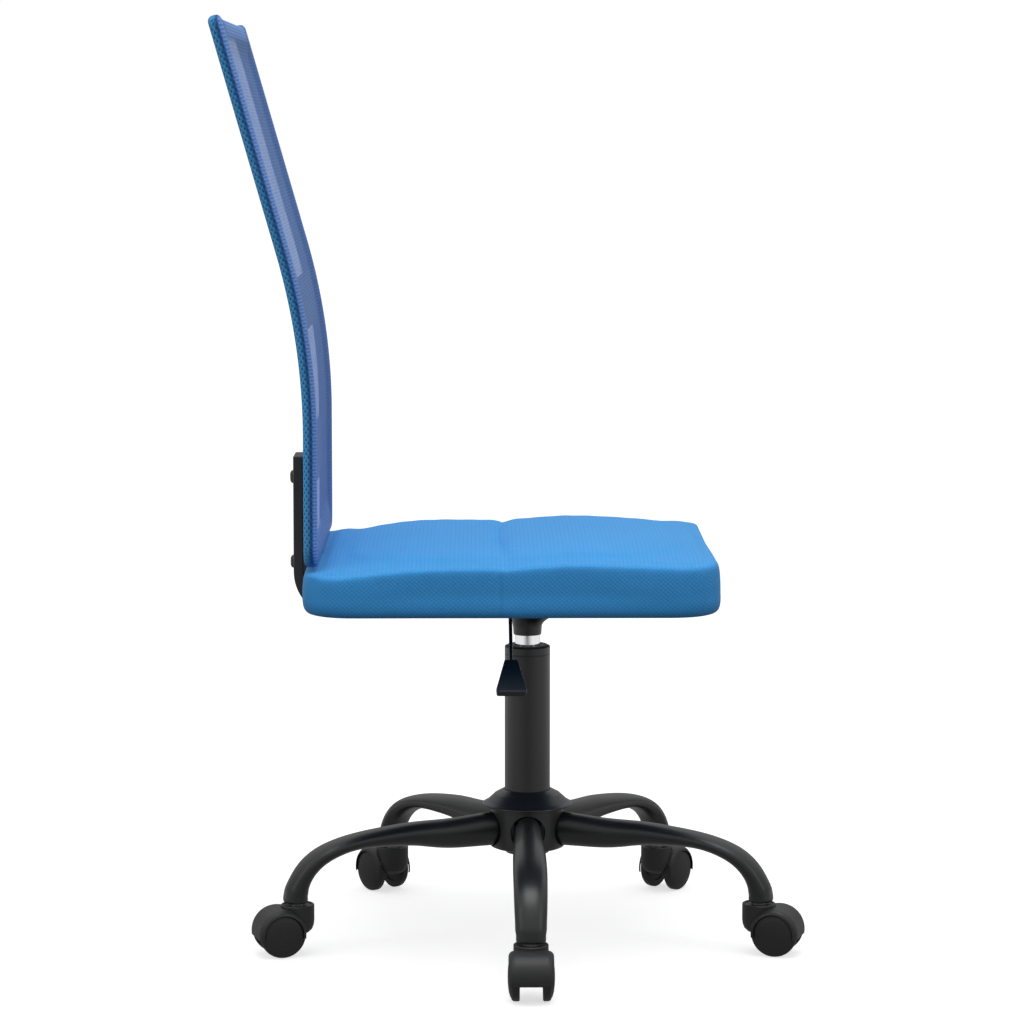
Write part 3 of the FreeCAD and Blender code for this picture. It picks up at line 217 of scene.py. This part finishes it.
m.link(m.mix(m.math("MULTIPLY", seam, 0.16), cloth, (0.010, 0.100, 0.300)), "Base Color")
m.bump(m.math("ADD", m.math("MULTIPLY", pat, -0.5), m.math("MULTIPLY", yarn, 0.25)), 0.22, 0.0008)
seat_cloth = m.m

# Back sleeve: open knit in the sleeve's own coordinates (metres round it and
# along it).  Over the rails it is doubled and closed with rows of pores; the
# faces between are thin, so the cross-pieces and the far layer show through.
m = Mat("blue_knit_sleeve").put(sheen=0.18, sheen_rough=0.5, rough=0.62, sheen_tint=(0.6, 0.75, 1.0), spec=0.3)
uv = m.split(m.coord.outputs["UV"])
ob = m.split(m.coord.outputs["Object"])
absx = m.math("ABSOLUTE", ob[0])
rail = m.ramp(absx, [(0.1735, 0.0), (0.1765, 1.0)])
# painted shade: a band on the faces along the inside of each rail, where the sleeve shades itself
rail_shade_band = m.math("MULTIPLY", m.ramp(absx, [(0.146, 0.0), (0.166, 1.0)]), m.ramp(absx, [(0.1735, 1.0), (0.1765, 0.0)]))
PU, PV = 0.0052, 0.0074
lat = m.math("MULTIPLY", m.math("COSINE", m.math("MULTIPLY", uv[0], 2 * pi / PU)),
             m.math("COSINE", m.math("MULTIPLY", uv[1], 2 * pi / PV)))
pore = m.ramp(m.math("ADD", m.math("MULTIPLY", lat, 0.5), 0.5), [(0.58, 0.0), (0.76, 1.0)])
rib = m.ramp(m.math("ADD", m.math("MULTIPLY", m.math("COSINE", m.math("MULTIPLY", uv[1], 4 * pi / PV)), 0.5), 0.5), [(0.2, 0.0), (0.8, 1.0)])
wide = m.noise(11.0, 3.0)
onrm = m.split(m.coord.outputs["Normal"])
turn = m.math("MULTIPLY", m.math("SUBTRACT", 1.0, onrm[1]), 0.5)
# Painted shade on each rail: the knit keeps its lit blue where the surface turns rearward and darkens where it turns
# forward, by the normal's direction; this dark band also stands for the stitch line beside the rail.
rail_shade_and_stitch_mask = m.ramp(turn, [(0.20, 0.0), (0.40, 0.40), (0.54, 1.0), (0.66, 1.0)])
inner = m.ramp(turn, [(0.64, 0.0), (0.76, 0.92)])
face_blue = m.mix(wide, (0.084, 0.225, 0.640), (0.105, 0.258, 0.700))
face_blue = m.mix(m.math("MULTIPLY", rib, 0.70), face_blue, (0.27, 0.49, 0.95))
rail_blue = m.mix(wide, (0.070, 0.430, 0.880), (0.090, 0.480, 0.960))
# painted shade: the rail's lit blue goes to dark blue on its forward-turning side
rail_blue = m.mix(rail_shade_and_stitch_mask, rail_blue, (0.008, 0.100, 0.340))
rail_blue = m.mix(m.math("MULTIPLY", pore, 0.78), rail_blue, (0.004, 0.050, 0.160))
rail_blue = m.mix(inner, rail_blue, face_blue)
# painted shade: dark navy along the inside of each rail
face_blue = m.mix(m.math("MULTIPLY", rail_shade_band, 0.78), face_blue, (0.022, 0.120, 0.420))
hem = m.ramp(ob[2], [(0.9855, 0.0), (0.9885, 0.93)])
m.link(m.mix(rail, face_blue, rail_blue), "Base Color")
thin = m.math("SUBTRACT", 0.74, m.math("MULTIPLY", pore, 0.26))
# the painted shade band along each rail is also made nearly opaque
thin = m.math("MAXIMUM", thin, m.math("MULTIPLY", rail_shade_band, 0.90))
closed = m.math("MAXIMUM", rail, hem)
m.link(m.math("MAXIMUM", thin, closed), "Alpha")
m.bump(m.math("MULTIPLY", lat, -1.0), 0.35, 0.0009)
knit = m.m

PAINT = {"black_steel": black_steel, "black_plastic": black_plastic, "hub_plastic": hub_plastic,
         "wheel_plastic": wheel_plastic, "handle_plastic": handle_plastic, "grey_plastic": grey_plastic,
         "chrome": chrome, "steel": steel, "blue_fabric": seat_cloth, "blue_mesh": knit, "foam": foam,
         "plywood": plywood, "black_cloth": dust}
for entry in frame["record"]["subparts"]:
    obj = nodes.get(entry["node"])
    if obj is None:
        continue
    mat = column_steel if entry["node"] in ("column_tube", "guide_bush") else PAINT.get(entry["material_slot"])
    if mat:
        obj.data.materials.clear()
        obj.data.materials.append(mat)


def new_object(name, verts, faces, mat, uvs=None, smooth=True):
    me = bpy.data.meshes.new(name)
    me.from_pydata(verts, [], faces)
    if uvs is not None:
        layer = me.uv_layers.new(name="cloth")
        for poly in me.polygons:
            for li in poly.loop_indices:
                layer.data[li].uv = uvs[li]
    me.materials.append(mat)
    if smooth:
        me.polygons.foreach_set("use_smooth", [True] * len(me.polygons))
    me.validate()
    me.update()
    ob = bpy.data.objects.new(name, me)
    scene.collection.objects.link(ob)
    return ob


# ------------------------------------------------------------------ camera
cam_data = bpy.data.cameras.new("camera")
cam = bpy.data.objects.new("camera", cam_data)
scene.collection.objects.link(cam)
cam.location = (-3.6523, 0.0535, 0.8915)
look = Vector((0.99562, -0.00996, -0.09294))
cam.rotation_mode = "QUATERNION"
cam.rotation_quaternion = look.to_track_quat("-Z", "Y")
cam_data.sensor_width = 36.0
cam_data.lens = 117.84
cam_data.shift_x = 0.0
cam_data.shift_y = -0.07
cam_data.clip_start, cam_data.clip_end = 0.05, 100.0
scene.camera = cam

# ------------------------------------------------------------------ seat cushion
s_lo, s_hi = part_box("seat_cover")
SX = 0.2150
Y0, Y1 = -0.2023, 0.2392
ZB = 0.3828


def curve(points, t):
    """Smooth curve through (position, value) points."""
    if t <= points[0][0]:
        return points[0][1]
    for i in range(len(points) - 1):
        a, b = points[i], points[i + 1]
        if t <= b[0]:
            p = points[max(0, i - 1)]
            n = points[min(len(points) - 1, i + 2)]
            h = b[0] - a[0]
            ma = (b[1] - p[1]) / (b[0] - p[0])
            mb = (n[1] - a[1]) / (n[0] - a[0])
            s = (t - a[0]) / h
            return ((2 * s ** 3 - 3 * s * s + 1) * a[1] + (s ** 3 - 2 * s * s + s) * h * ma
                    + (-2 * s ** 3 + 3 * s * s) * b[1] + (s ** 3 - s * s) * h * mb)
    return points[-1][1]


CREST = [(-0.2003, 0.4395), (-0.194, 0.4450), (-0.184, 0.4508), (-0.166, 0.4580), (-0.116, 0.4640), (-0.058, 0.4662),
         (-0.004, 0.4640), (0.046, 0.4615), (0.090, 0.4622), (0.127, 0.4620), (0.175, 0.4566), (0.219, 0.4450), (0.2388, 0.4370)]
EDGE = [(-0.2003, 0.4420), (-0.167, 0.4400), (-0.106, 0.4414), (-0.045, 0.4427), (0.018, 0.4385), (0.070, 0.4382),
        (0.129, 0.4368), (0.198, 0.4300), (0.2388, 0.4290)]


CROWN = 0.42


def rounded_half_width(y, r=0.046):
    """Half width of the cushion's plan at y, with rounded corners."""
    for edge, sign in ((Y0, 1), (Y1, -1)):
        d = (y - edge) * sign
        if d < r:
            return SX - r + math.sqrt(max(0.0, r * r - (r - d) ** 2))
    return SX


def seat_room(x, y, z):
    """Height kept under the backrest's foot, with a soft roll in front of it."""
    if abs(x) > 0.200 or y < 0.2040:
        return z
    t = min(1.0, (y - 0.2040) / 0.0155)
    low = 0.4290 + (z - 0.4290) * math.sqrt(max(0.0, 1 - t * t))
    side = min(1.0, max(0.0, (0.200 - abs(x)) / 0.008))
    return z + (min(z, low) - z) * side


def cushion_mesh(name, inset):
    """Closed cushion: crowned top, soft top edge, upright sides, flat base."""
    N = 72
    bm = bmesh.new()
    rings = []
    # plan outline as a closed loop of points, evenly spaced
    r = 0.046
    outline = []
    cx, cy0, cy1 = SX - r, Y0 + r, Y1 - r
    straight = [((SX, cy0), (SX, cy1)), ((cx, Y1), (-cx, Y1)), ((-SX, cy1), (-SX, cy0)), ((-cx, Y0), (cx, Y0))]
    centres = [((cx, cy1), 0), ((-cx, cy1), 90), ((-cx, cy0), 180), ((cx, cy0), 270)]
    for (a, b), (c, ang) in zip(straight, centres):
        k = 34
        for i in range(k):
            t = i / k
            outline.append((a[0] + (b[0] - a[0]) * t, a[1] + (b[1] - a[1]) * t, 0))
        for i in range(9):
            t = math.radians(ang + 90 * i / 9)
            outline.append((c[0] + r * math.cos(t), c[1] + r * math.sin(t), 0))
    mid = (0.0, (Y0 + Y1) / 2)
    # profile of the side from the base to the top edge: (inset, height fraction)
    profile = [(0.100, 0.0), (0.060, 0.0), (0.034, 0.0), (0.020, 0.0), (0.0105, 0.002), (0.0062, 0.024), (0.0034, 0.070), (0.0014, 0.140),
               (0.0004, 0.25), (0.0, 0.34), (0.0, 0.44), (0.0, 0.54), (0.0002, 0.64), (0.0006, 0.74), (0.0010, 0.83), (0.0016, 0.905),
               (0.0026, 0.955), (0.0044, 0.985), (0.0072, 1.0), (0.0110, 1.012)]

    def point(px, py, ins, frac):
        dx, dy = px - mid[0], py - mid[1]
        ln = math.hypot(dx, dy)
        sx = (SX - ins - inset) / SX
        sy = ((Y1 - Y0) / 2 - ins - inset) / ((Y1 - Y0) / 2)
        x, y = mid[0] + dx * sx, mid[1] + dy * sy
        z = ZB + inset + (curve(EDGE, y) - inset - ZB - inset) * frac
        return x, y, seat_room(x, y, z)

    for ins, frac in profile:
        rings.append([bm.verts.new(point(px, py, ins, frac)) for px, py, _ in outline])
    # top: rings shrinking toward the middle, height from the crest and edge curves
    M = 44
    for i in range(M):
        q = 1 - i / M
        ring = []
        for px, py, _ in outline:
            dx, dy = px - mid[0], py - mid[1]
            sx = (SX - 0.0135 - inset) / SX * q
            sy = ((Y1 - Y0) / 2 - 0.0135 - inset) / ((Y1 - Y0) / 2) * q
            x, y = mid[0] + dx * sx, mid[1] + dy * sy
            e, c = curve(EDGE, y) + 0.0006, curve(CREST, y)
            t = min(1.0, abs(x) / (SX - 0.0135))
            w = max(0.0, 1 - t ** 2.3) ** 0.80
            ty = max(0.0, 1 - min(y - Y0, Y1 - y) / 0.030)
            z = seat_room(x, y, e + (c - e) * CROWN * w)
            ring.append(bm.verts.new((x, y, z - inset)))
        rings.append(ring)
    n = len(outline)
    for a, b in zip(rings[:-1], rings[1:]):
        for i in range(n):
            bm.faces.new((a[i], a[(i + 1) % n], b[(i + 1) % n], b[i]))
    c = bm.verts.new((mid[0], mid[1], curve(EDGE, mid[1]) + (curve(CREST, mid[1]) - curve(EDGE, mid[1])) * CROWN - inset))
    for i in range(n):
        bm.faces.new((rings[-1][i], rings[-1][(i + 1) % n], c))
    c = bm.verts.new((mid[0], mid[1], ZB + inset))
    for i in range(n):
        bm.faces.new((rings[0][(i + 1) % n], rings[0][i], c))
    bmesh.ops.recalc_face_normals(bm, faces=bm.faces)
    me = bpy.data.meshes.new(name)
    bm.to_mesh(me)
    bm.free()
    me.materials.append(seat_cloth)
    ob = bpy.data.objects.new(name, me)
    scene.collection.objects.link(ob)
    return ob


def apply_modifiers(ob):
    dg = bpy.context.evaluated_depsgraph_get()
    me = bpy.data.meshes.new_from_object(ob.evaluated_get(dg))
    ob.modifiers.clear()
    old = ob.data
    ob.data = me
    bpy.data.meshes.remove(old)
    return ob


cushion = cushion_mesh("seat_cushion", 0.0006)
rest = [v.co.copy() for v in cushion.data.vertices]
cl = cushion.modifiers.new("cloth", "CLOTH")
st = cl.settings
st.quality = 6
st.mass = 0.30
st.tension_stiffness = 22
st.compression_stiffness = 22
st.shear_stiffness = 10
st.bending_stiffness = 0.9
st.use_pressure = True
st.uniform_pressure_force = 3.6
st.effector_weights.gravity = 0.0
scene.frame_start, scene.frame_end = 1, 20
for fr in range(1, 21):
    scene.frame_set(fr)
dg = bpy.context.evaluated_depsgraph_get()
ev = cushion.evaluated_get(dg).to_mesh()
moved = [v.co.copy() for v in ev.vertices]
cushion.evaluated_get(dg).to_mesh_clear()
cushion.modifiers.clear()
scene.frame_set(1)
cap = 0.0038
for v, a, b in zip(cushion.data.vertices, rest, moved):
    d = b - a
    if d.length > cap:
        d = d * (cap / d.length)
    # the base stays flat on its board
    k = min(1.0, max(0.0, (a.z - ZB - 0.006) / 0.02))
    v.co = a + Vector((d.x, d.y, d.z * (0.35 if abs(a.x) < 0.190 and a.y > 0.19 else 0.5))) * k
    if a.y > 0.200 and abs(a.x) < 0.196:
        v.co = a


def bell(d, w):
    return math.exp(-(d / w) ** 2)


def finish_cushion(ob):
    sm = ob.modifiers.new("smooth", "SMOOTH")
    sm.factor, sm.iterations = 0.5, 1
    sub = ob.modifiers.new("subdivide", "SUBSURF")
    sub.levels = sub.render_levels = 1
    apply_modifiers(ob)
    me = ob.data
    me.update()
    normals = [v.normal.copy() for v in me.vertices]
    for v, nn in zip(me.vertices, normals):
        x, y, z = v.co
        e = curve(EDGE, y)
        side = min(1.0, max(0.0, (z - ZB - 0.010) / 0.02))
        if y > 0.205 and abs(x) < 0.196:
            continue
        # sewn channel across the seat, deepest in the middle, fading down the sides
        line = 0.0285 + 0.004 * math.cos(pi * x / SX)
        top = max(0.0, nn.z)
        v.co -= nn * (0.0030 * bell(y - line, 0.0095) * top ** 1.5 * (0.35 + 0.65 * (1 - (x / SX) ** 4)))
        v.co -= nn * (0.0016 * bell(y - line, 0.0022) * top)
        # upright seam on the side band below the channel
        if abs(nn.x) > 0.6:
            v.co -= nn * (0.0011 * bell(y - 0.030, 0.0028) * side)
        # seam round the top edge
        v.co -= nn * (0.0011 * bell(z - e + 0.0005, 0.0020) * (1 - top ** 6) * side)
        # soft puckers that fade away from the seams
        pk = 0.00022 * math.sin(y * 2 * pi / 0.027 + 3 * math.sin(x * 21)) * bell(z - e, 0.010)
        pk += 0.00026 * math.sin(x * 2 * pi / 0.024 + 2 * math.sin(x * 17)) * bell(y - line, 0.015) * top
        v.co += nn * pk
    # flat where the mount plate stands behind it
    for v in me.vertices:
        near = min(1.0, max(0.0, (0.060 - abs(v.co.x)) / 0.020))
        if v.co.y > 0.2350:
            v.co.y += (0.2350 - v.co.y) * near
    me.polygons.foreach_set("use_smooth", [True] * len(me.polygons))
    me.update()


finish_cushion(cushion)
if not cushion.data.materials:
    cushion.data.materials.append(seat_cloth)
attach(cushion, "seat")
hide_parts("seat_cover", "seat_foam")

# ------------------------------------------------------------------ back sleeve
FY, FB, FR, REC = 0.229, 0.570, 0.700, math.radians(16.0)
ARC = FR * REC
TOP = ARC + 0.2435
LOW = 0.439 - FB
HW = 0.180
TR = 0.0073


def side_point(d, off):
    """Side profile of the back at distance d from its bend's start, off towards the front."""
    if d < 0:
        return FY - off, FB + d, 0.0
    if d < ARC:
        a = d / FR
        return FY + FR - (FR + off) * math.cos(a), FB + (FR + off) * math.sin(a), a
    r = d - ARC
    return (FY + FR - (FR + off) * math.cos(REC) + r * math.sin(REC),
            FB + (FR + off) * math.sin(REC) + r * math.cos(REC), REC)


def section(half_width, half_thick, front, rear):
    """Closed loop round the two rails, its faces drawn in between them by
    front and rear: (x, off) points."""
    pts = []

    def drawn(x):
        t = min(1.0, max(0.0, (rw - abs(x)) / 0.034))
        return t * t * (3 - 2 * t)

    nf, ns = 72, 10
    rw = max(0.001, half_width)
    for i in range(nf):
        x = -rw + 2 * rw * i / nf
        pts.append((x, half_thick - front * drawn(x)))
    for i in range(ns):
        a = pi / 2 - pi * i / ns
        pts.append((rw + half_thick * math.cos(a), half_thick * math.sin(a)))
    for i in range(nf):
        x = rw - 2 * rw * i / nf
        pts.append((x, -(half_thick - rear * drawn(x))))
    for i in range(ns):
        a = -pi / 2 - pi * i / ns
        pts.append((-rw + half_thick * math.cos(a), half_thick * math.sin(a)))
    return pts


verts, faces, loops_uv = [], [], []
stations = []
C_TOP, C_LOW = 0.0115, 0.024
ring_pts = []
ds = []
d = LOW
steps = 118
for i in range(steps + 1):
    ds.append(LOW + (TOP - LOW) * i / steps)
caps_low = [(-math.sin(a), math.cos(a)) for a in [math.radians(x) for x in (88, 72, 54, 36, 18)]]
caps_top = [(math.sin(a), math.cos(a)) for a in [math.radians(x) for x in (18, 36, 54, 72, 88)]]
plan = [(LOW + TR * s, c) for s, c in caps_low] + [(q, 1.0) for q in ds] + [(TOP + TR * s, c) for s, c in caps_top]
prev = None
along = 0.0
rows_v = []
for d, thick in plan:
    hw = HW
    dt = TOP + TR - d
    db = d - (LOW - TR)
    if dt < C_TOP:
        hw -= C_TOP - math.sqrt(max(0.0, C_TOP ** 2 - (C_TOP - dt) ** 2))
    if db < C_LOW:
        hw -= C_LOW - math.sqrt(max(0.0, C_LOW ** 2 - (C_LOW - db) ** 2))
    # selvedge: the knit is drawn in a little between the rails
    row = []
    dist = 0.0
    last = None
    ends = min(1.0, max(0.0, min(TOP - 0.004 - d, d - LOW - 0.004) / 0.030))
    ends = ends * ends * (3 - 2 * ends)
    for x, off in section(hw, TR * thick, 0.0052 * ends, 0.0014 * ends):
        ux = min(1.0, abs(x) / (HW + TR))
        # sewn corners of the sleeve stand above the frame's rounded corners
        ear = 0.0062 * max(0.0, (ux - 0.80) / 0.20) ** 1.6 * max(0.0, min(1.0, (d - (TOP - 0.03)) / 0.035)) ** 1.4
        y, z, a = side_point(d + ear, off)
        if last is not None:
            dist += math.hypot(x - last[0], off - last[1])
        last = (x, off)
        row.append(((x, y, z), dist))
    y, z, a = side_point(d, 0.0)
    if prev is not None:
        along += math.hypot(y - prev[0], z - prev[1])
    prev = (y, z)
    rows_v.append(along)
    ring_pts.append(row)
n = len(ring_pts[0])
for row in ring_pts:
    for p, _ in row:
        verts.append(p)
total_round = 2 * (2 * HW) + 2 * pi * TR
for j in range(len(ring_pts) - 1):
    for i in range(n):
        a, b = j * n + i, j * n + (i + 1) % n
        c, e = (j + 1) * n + (i + 1) % n, (j + 1) * n + i
        faces.append((a, b, c, e))
        # distance round is measured from the middle of the front so that rows meet
        def u_of(row, k):
            return (row[k][1] if k < n else row[n - 1][1] + math.hypot(
                row[0][0][0] - row[n - 1][0][0], 0.0015))
        loops_uv += [(u_of(ring_pts[j], i), rows_v[j]), (u_of(ring_pts[j], i + 1), rows_v[j]),
                     (u_of(ring_pts[j + 1], i + 1), rows_v[j + 1]), (u_of(ring_pts[j + 1], i), rows_v[j + 1])]
sleeve = new_object("back_sleeve", verts, faces, knit, loops_uv)
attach(sleeve, "seat")
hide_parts("back_mesh_front", "back_mesh_rear")

# ------------------------------------------------------------------ stage
floor_me = bpy.data.meshes.new("floor")
s = 30.0
floor_me.from_pydata([(-s, -s, -0.0002), (s, -s, -0.0002), (s, s, -0.0002), (-s, s, -0.0002)], [], [(0, 1, 2, 3)])
floor = bpy.data.objects.new("floor", floor_me)
scene.collection.objects.link(floor)


def seen_or_lit(tree, seen, lit):
    """One shader for what the picture sees and another for the light it gives."""
    lp = tree.nodes.new("ShaderNodeLightPath")
    mx = tree.nodes.new("ShaderNodeMixShader")
    tree.links.new(lp.outputs["Is Camera Ray"], mx.inputs[0])
    tree.links.new(lit, mx.inputs[1])
    tree.links.new(seen, mx.inputs[2])
    return mx.outputs[0]


fm = bpy.data.materials.new("pale_floor")
fm.use_nodes = True
ft = fm.node_tree
ft.nodes.clear()
fo = ft.nodes.new("ShaderNodeOutputMaterial")
d1 = ft.nodes.new("ShaderNodeBsdfDiffuse")
d1.inputs[0].default_value = (0.62, 0.62, 0.62, 1)
d2 = ft.nodes.new("ShaderNodeBsdfDiffuse")
d2.inputs[0].default_value = (FLOOR_BOUNCE, FLOOR_BOUNCE, FLOOR_BOUNCE, 1)
# For reflections the floor glows, brighter away from its middle line (by |y|): a painted reflection source that lays
# highlight streaks on the column and other glossy parts; other rays see a dim diffuse floor.
e2 = ft.nodes.new("ShaderNodeEmission")
fc = ft.nodes.new("ShaderNodeTexCoord")
fs = ft.nodes.new("ShaderNodeSeparateXYZ")
fa = ft.nodes.new("ShaderNodeMath")
fa.operation = "ABSOLUTE"
fr = ft.nodes.new("ShaderNodeMapRange")
fr.inputs["From Min"].default_value, fr.inputs["From Max"].default_value = 0.25, 1.5
fr.inputs["To Min"].default_value, fr.inputs["To Max"].default_value = 0.30, 0.85
ft.links.new(fc.outputs["Object"], fs.inputs[0])
ft.links.new(fs.outputs[1], fa.inputs[0])
ft.links.new(fa.outputs[0], fr.inputs[0])
ft.links.new(fr.outputs[0], e2.inputs[1])
lp2 = ft.nodes.new("ShaderNodeLightPath")
mg = ft.nodes.new("ShaderNodeMixShader")
ft.links.new(lp2.outputs["Is Glossy Ray"], mg.inputs[0])
ft.links.new(d2.outputs[0], mg.inputs[1])
ft.links.new(e2.outputs[0], mg.inputs[2])
e1 = ft.nodes.new("ShaderNodeEmission")
e1.inputs[1].default_value = 0.66
ad = ft.nodes.new("ShaderNodeAddShader")
ft.links.new(d1.outputs[0], ad.inputs[0])
ft.links.new(e1.outputs[0], ad.inputs[1])
ft.links.new(seen_or_lit(ft, ad.outputs[0], mg.outputs[0]), fo.inputs[0])
floor_me.materials.append(fm)

world = bpy.data.worlds.new("studio")
scene.world = world
world.use_nodes = True
wt = world.node_tree
wt.nodes.clear()
wo = wt.nodes.new("ShaderNodeOutputWorld")
bg = wt.nodes.new("ShaderNodeBackground")
tc = wt.nodes.new("ShaderNodeTexCoord")
sp = wt.nodes.new("ShaderNodeSeparateXYZ")
rp = wt.nodes.new("ShaderNodeValToRGB")
wt.links.new(tc.outputs["Generated"], sp.inputs[0])
wt.links.new(sp.outputs[2], rp.inputs[0])
rp.color_ramp.elements[0].position = 0.0
rp.color_ramp.elements[0].color = (SIDE, SIDE, SIDE, 1)
rp.color_ramp.elements[1].position = 1.0
rp.color_ramp.elements[1].color = (UP, UP, UP, 1)
wt.links.new(rp.outputs[0], bg.inputs[0])
bg.inputs[1].default_value = 1.0
plain = wt.nodes.new("ShaderNodeBackground")
plain.inputs[0].default_value = (1, 1, 1, 1)
plain.inputs[1].default_value = 1.02
wt.links.new(seen_or_lit(wt, plain.outputs[0], bg.outputs[0]), wo.inputs[0])


def area_light(name, loc, target, size, power, size_y=None):
    la = bpy.data.lights.new(name, "AREA")
    la.shape = "RECTANGLE"
    la.size = size
    la.size_y = size_y or size
    la.energy = power
    ob = bpy.data.objects.new(name, la)
    scene.collection.objects.link(ob)
    ob.location = loc
    ob.rotation_mode = "QUATERNION"
    ob.rotation_quaternion = (Vector(target) - Vector(loc)).to_track_quat("-Z", "Y")
    return ob


area_light("overhead", (-0.5, 0.0, 3.0), (0, 0, 0.3), 1.8, 26.0)
area_light("strip_front", (-1.6, -2.6, 1.5), (0, 0, 0.3), 0.5, 5.0, 2.0)
area_light("strip_rear", (-1.4, 2.6, 1.6), (0, 0, 0.4), 0.5, 5.0, 2.0)

scene.view_settings.view_transform = "Standard"
scene.view_settings.look = "None"
scene.view_settings.exposure = 0.0
scene.view_settings.gamma = 1.0
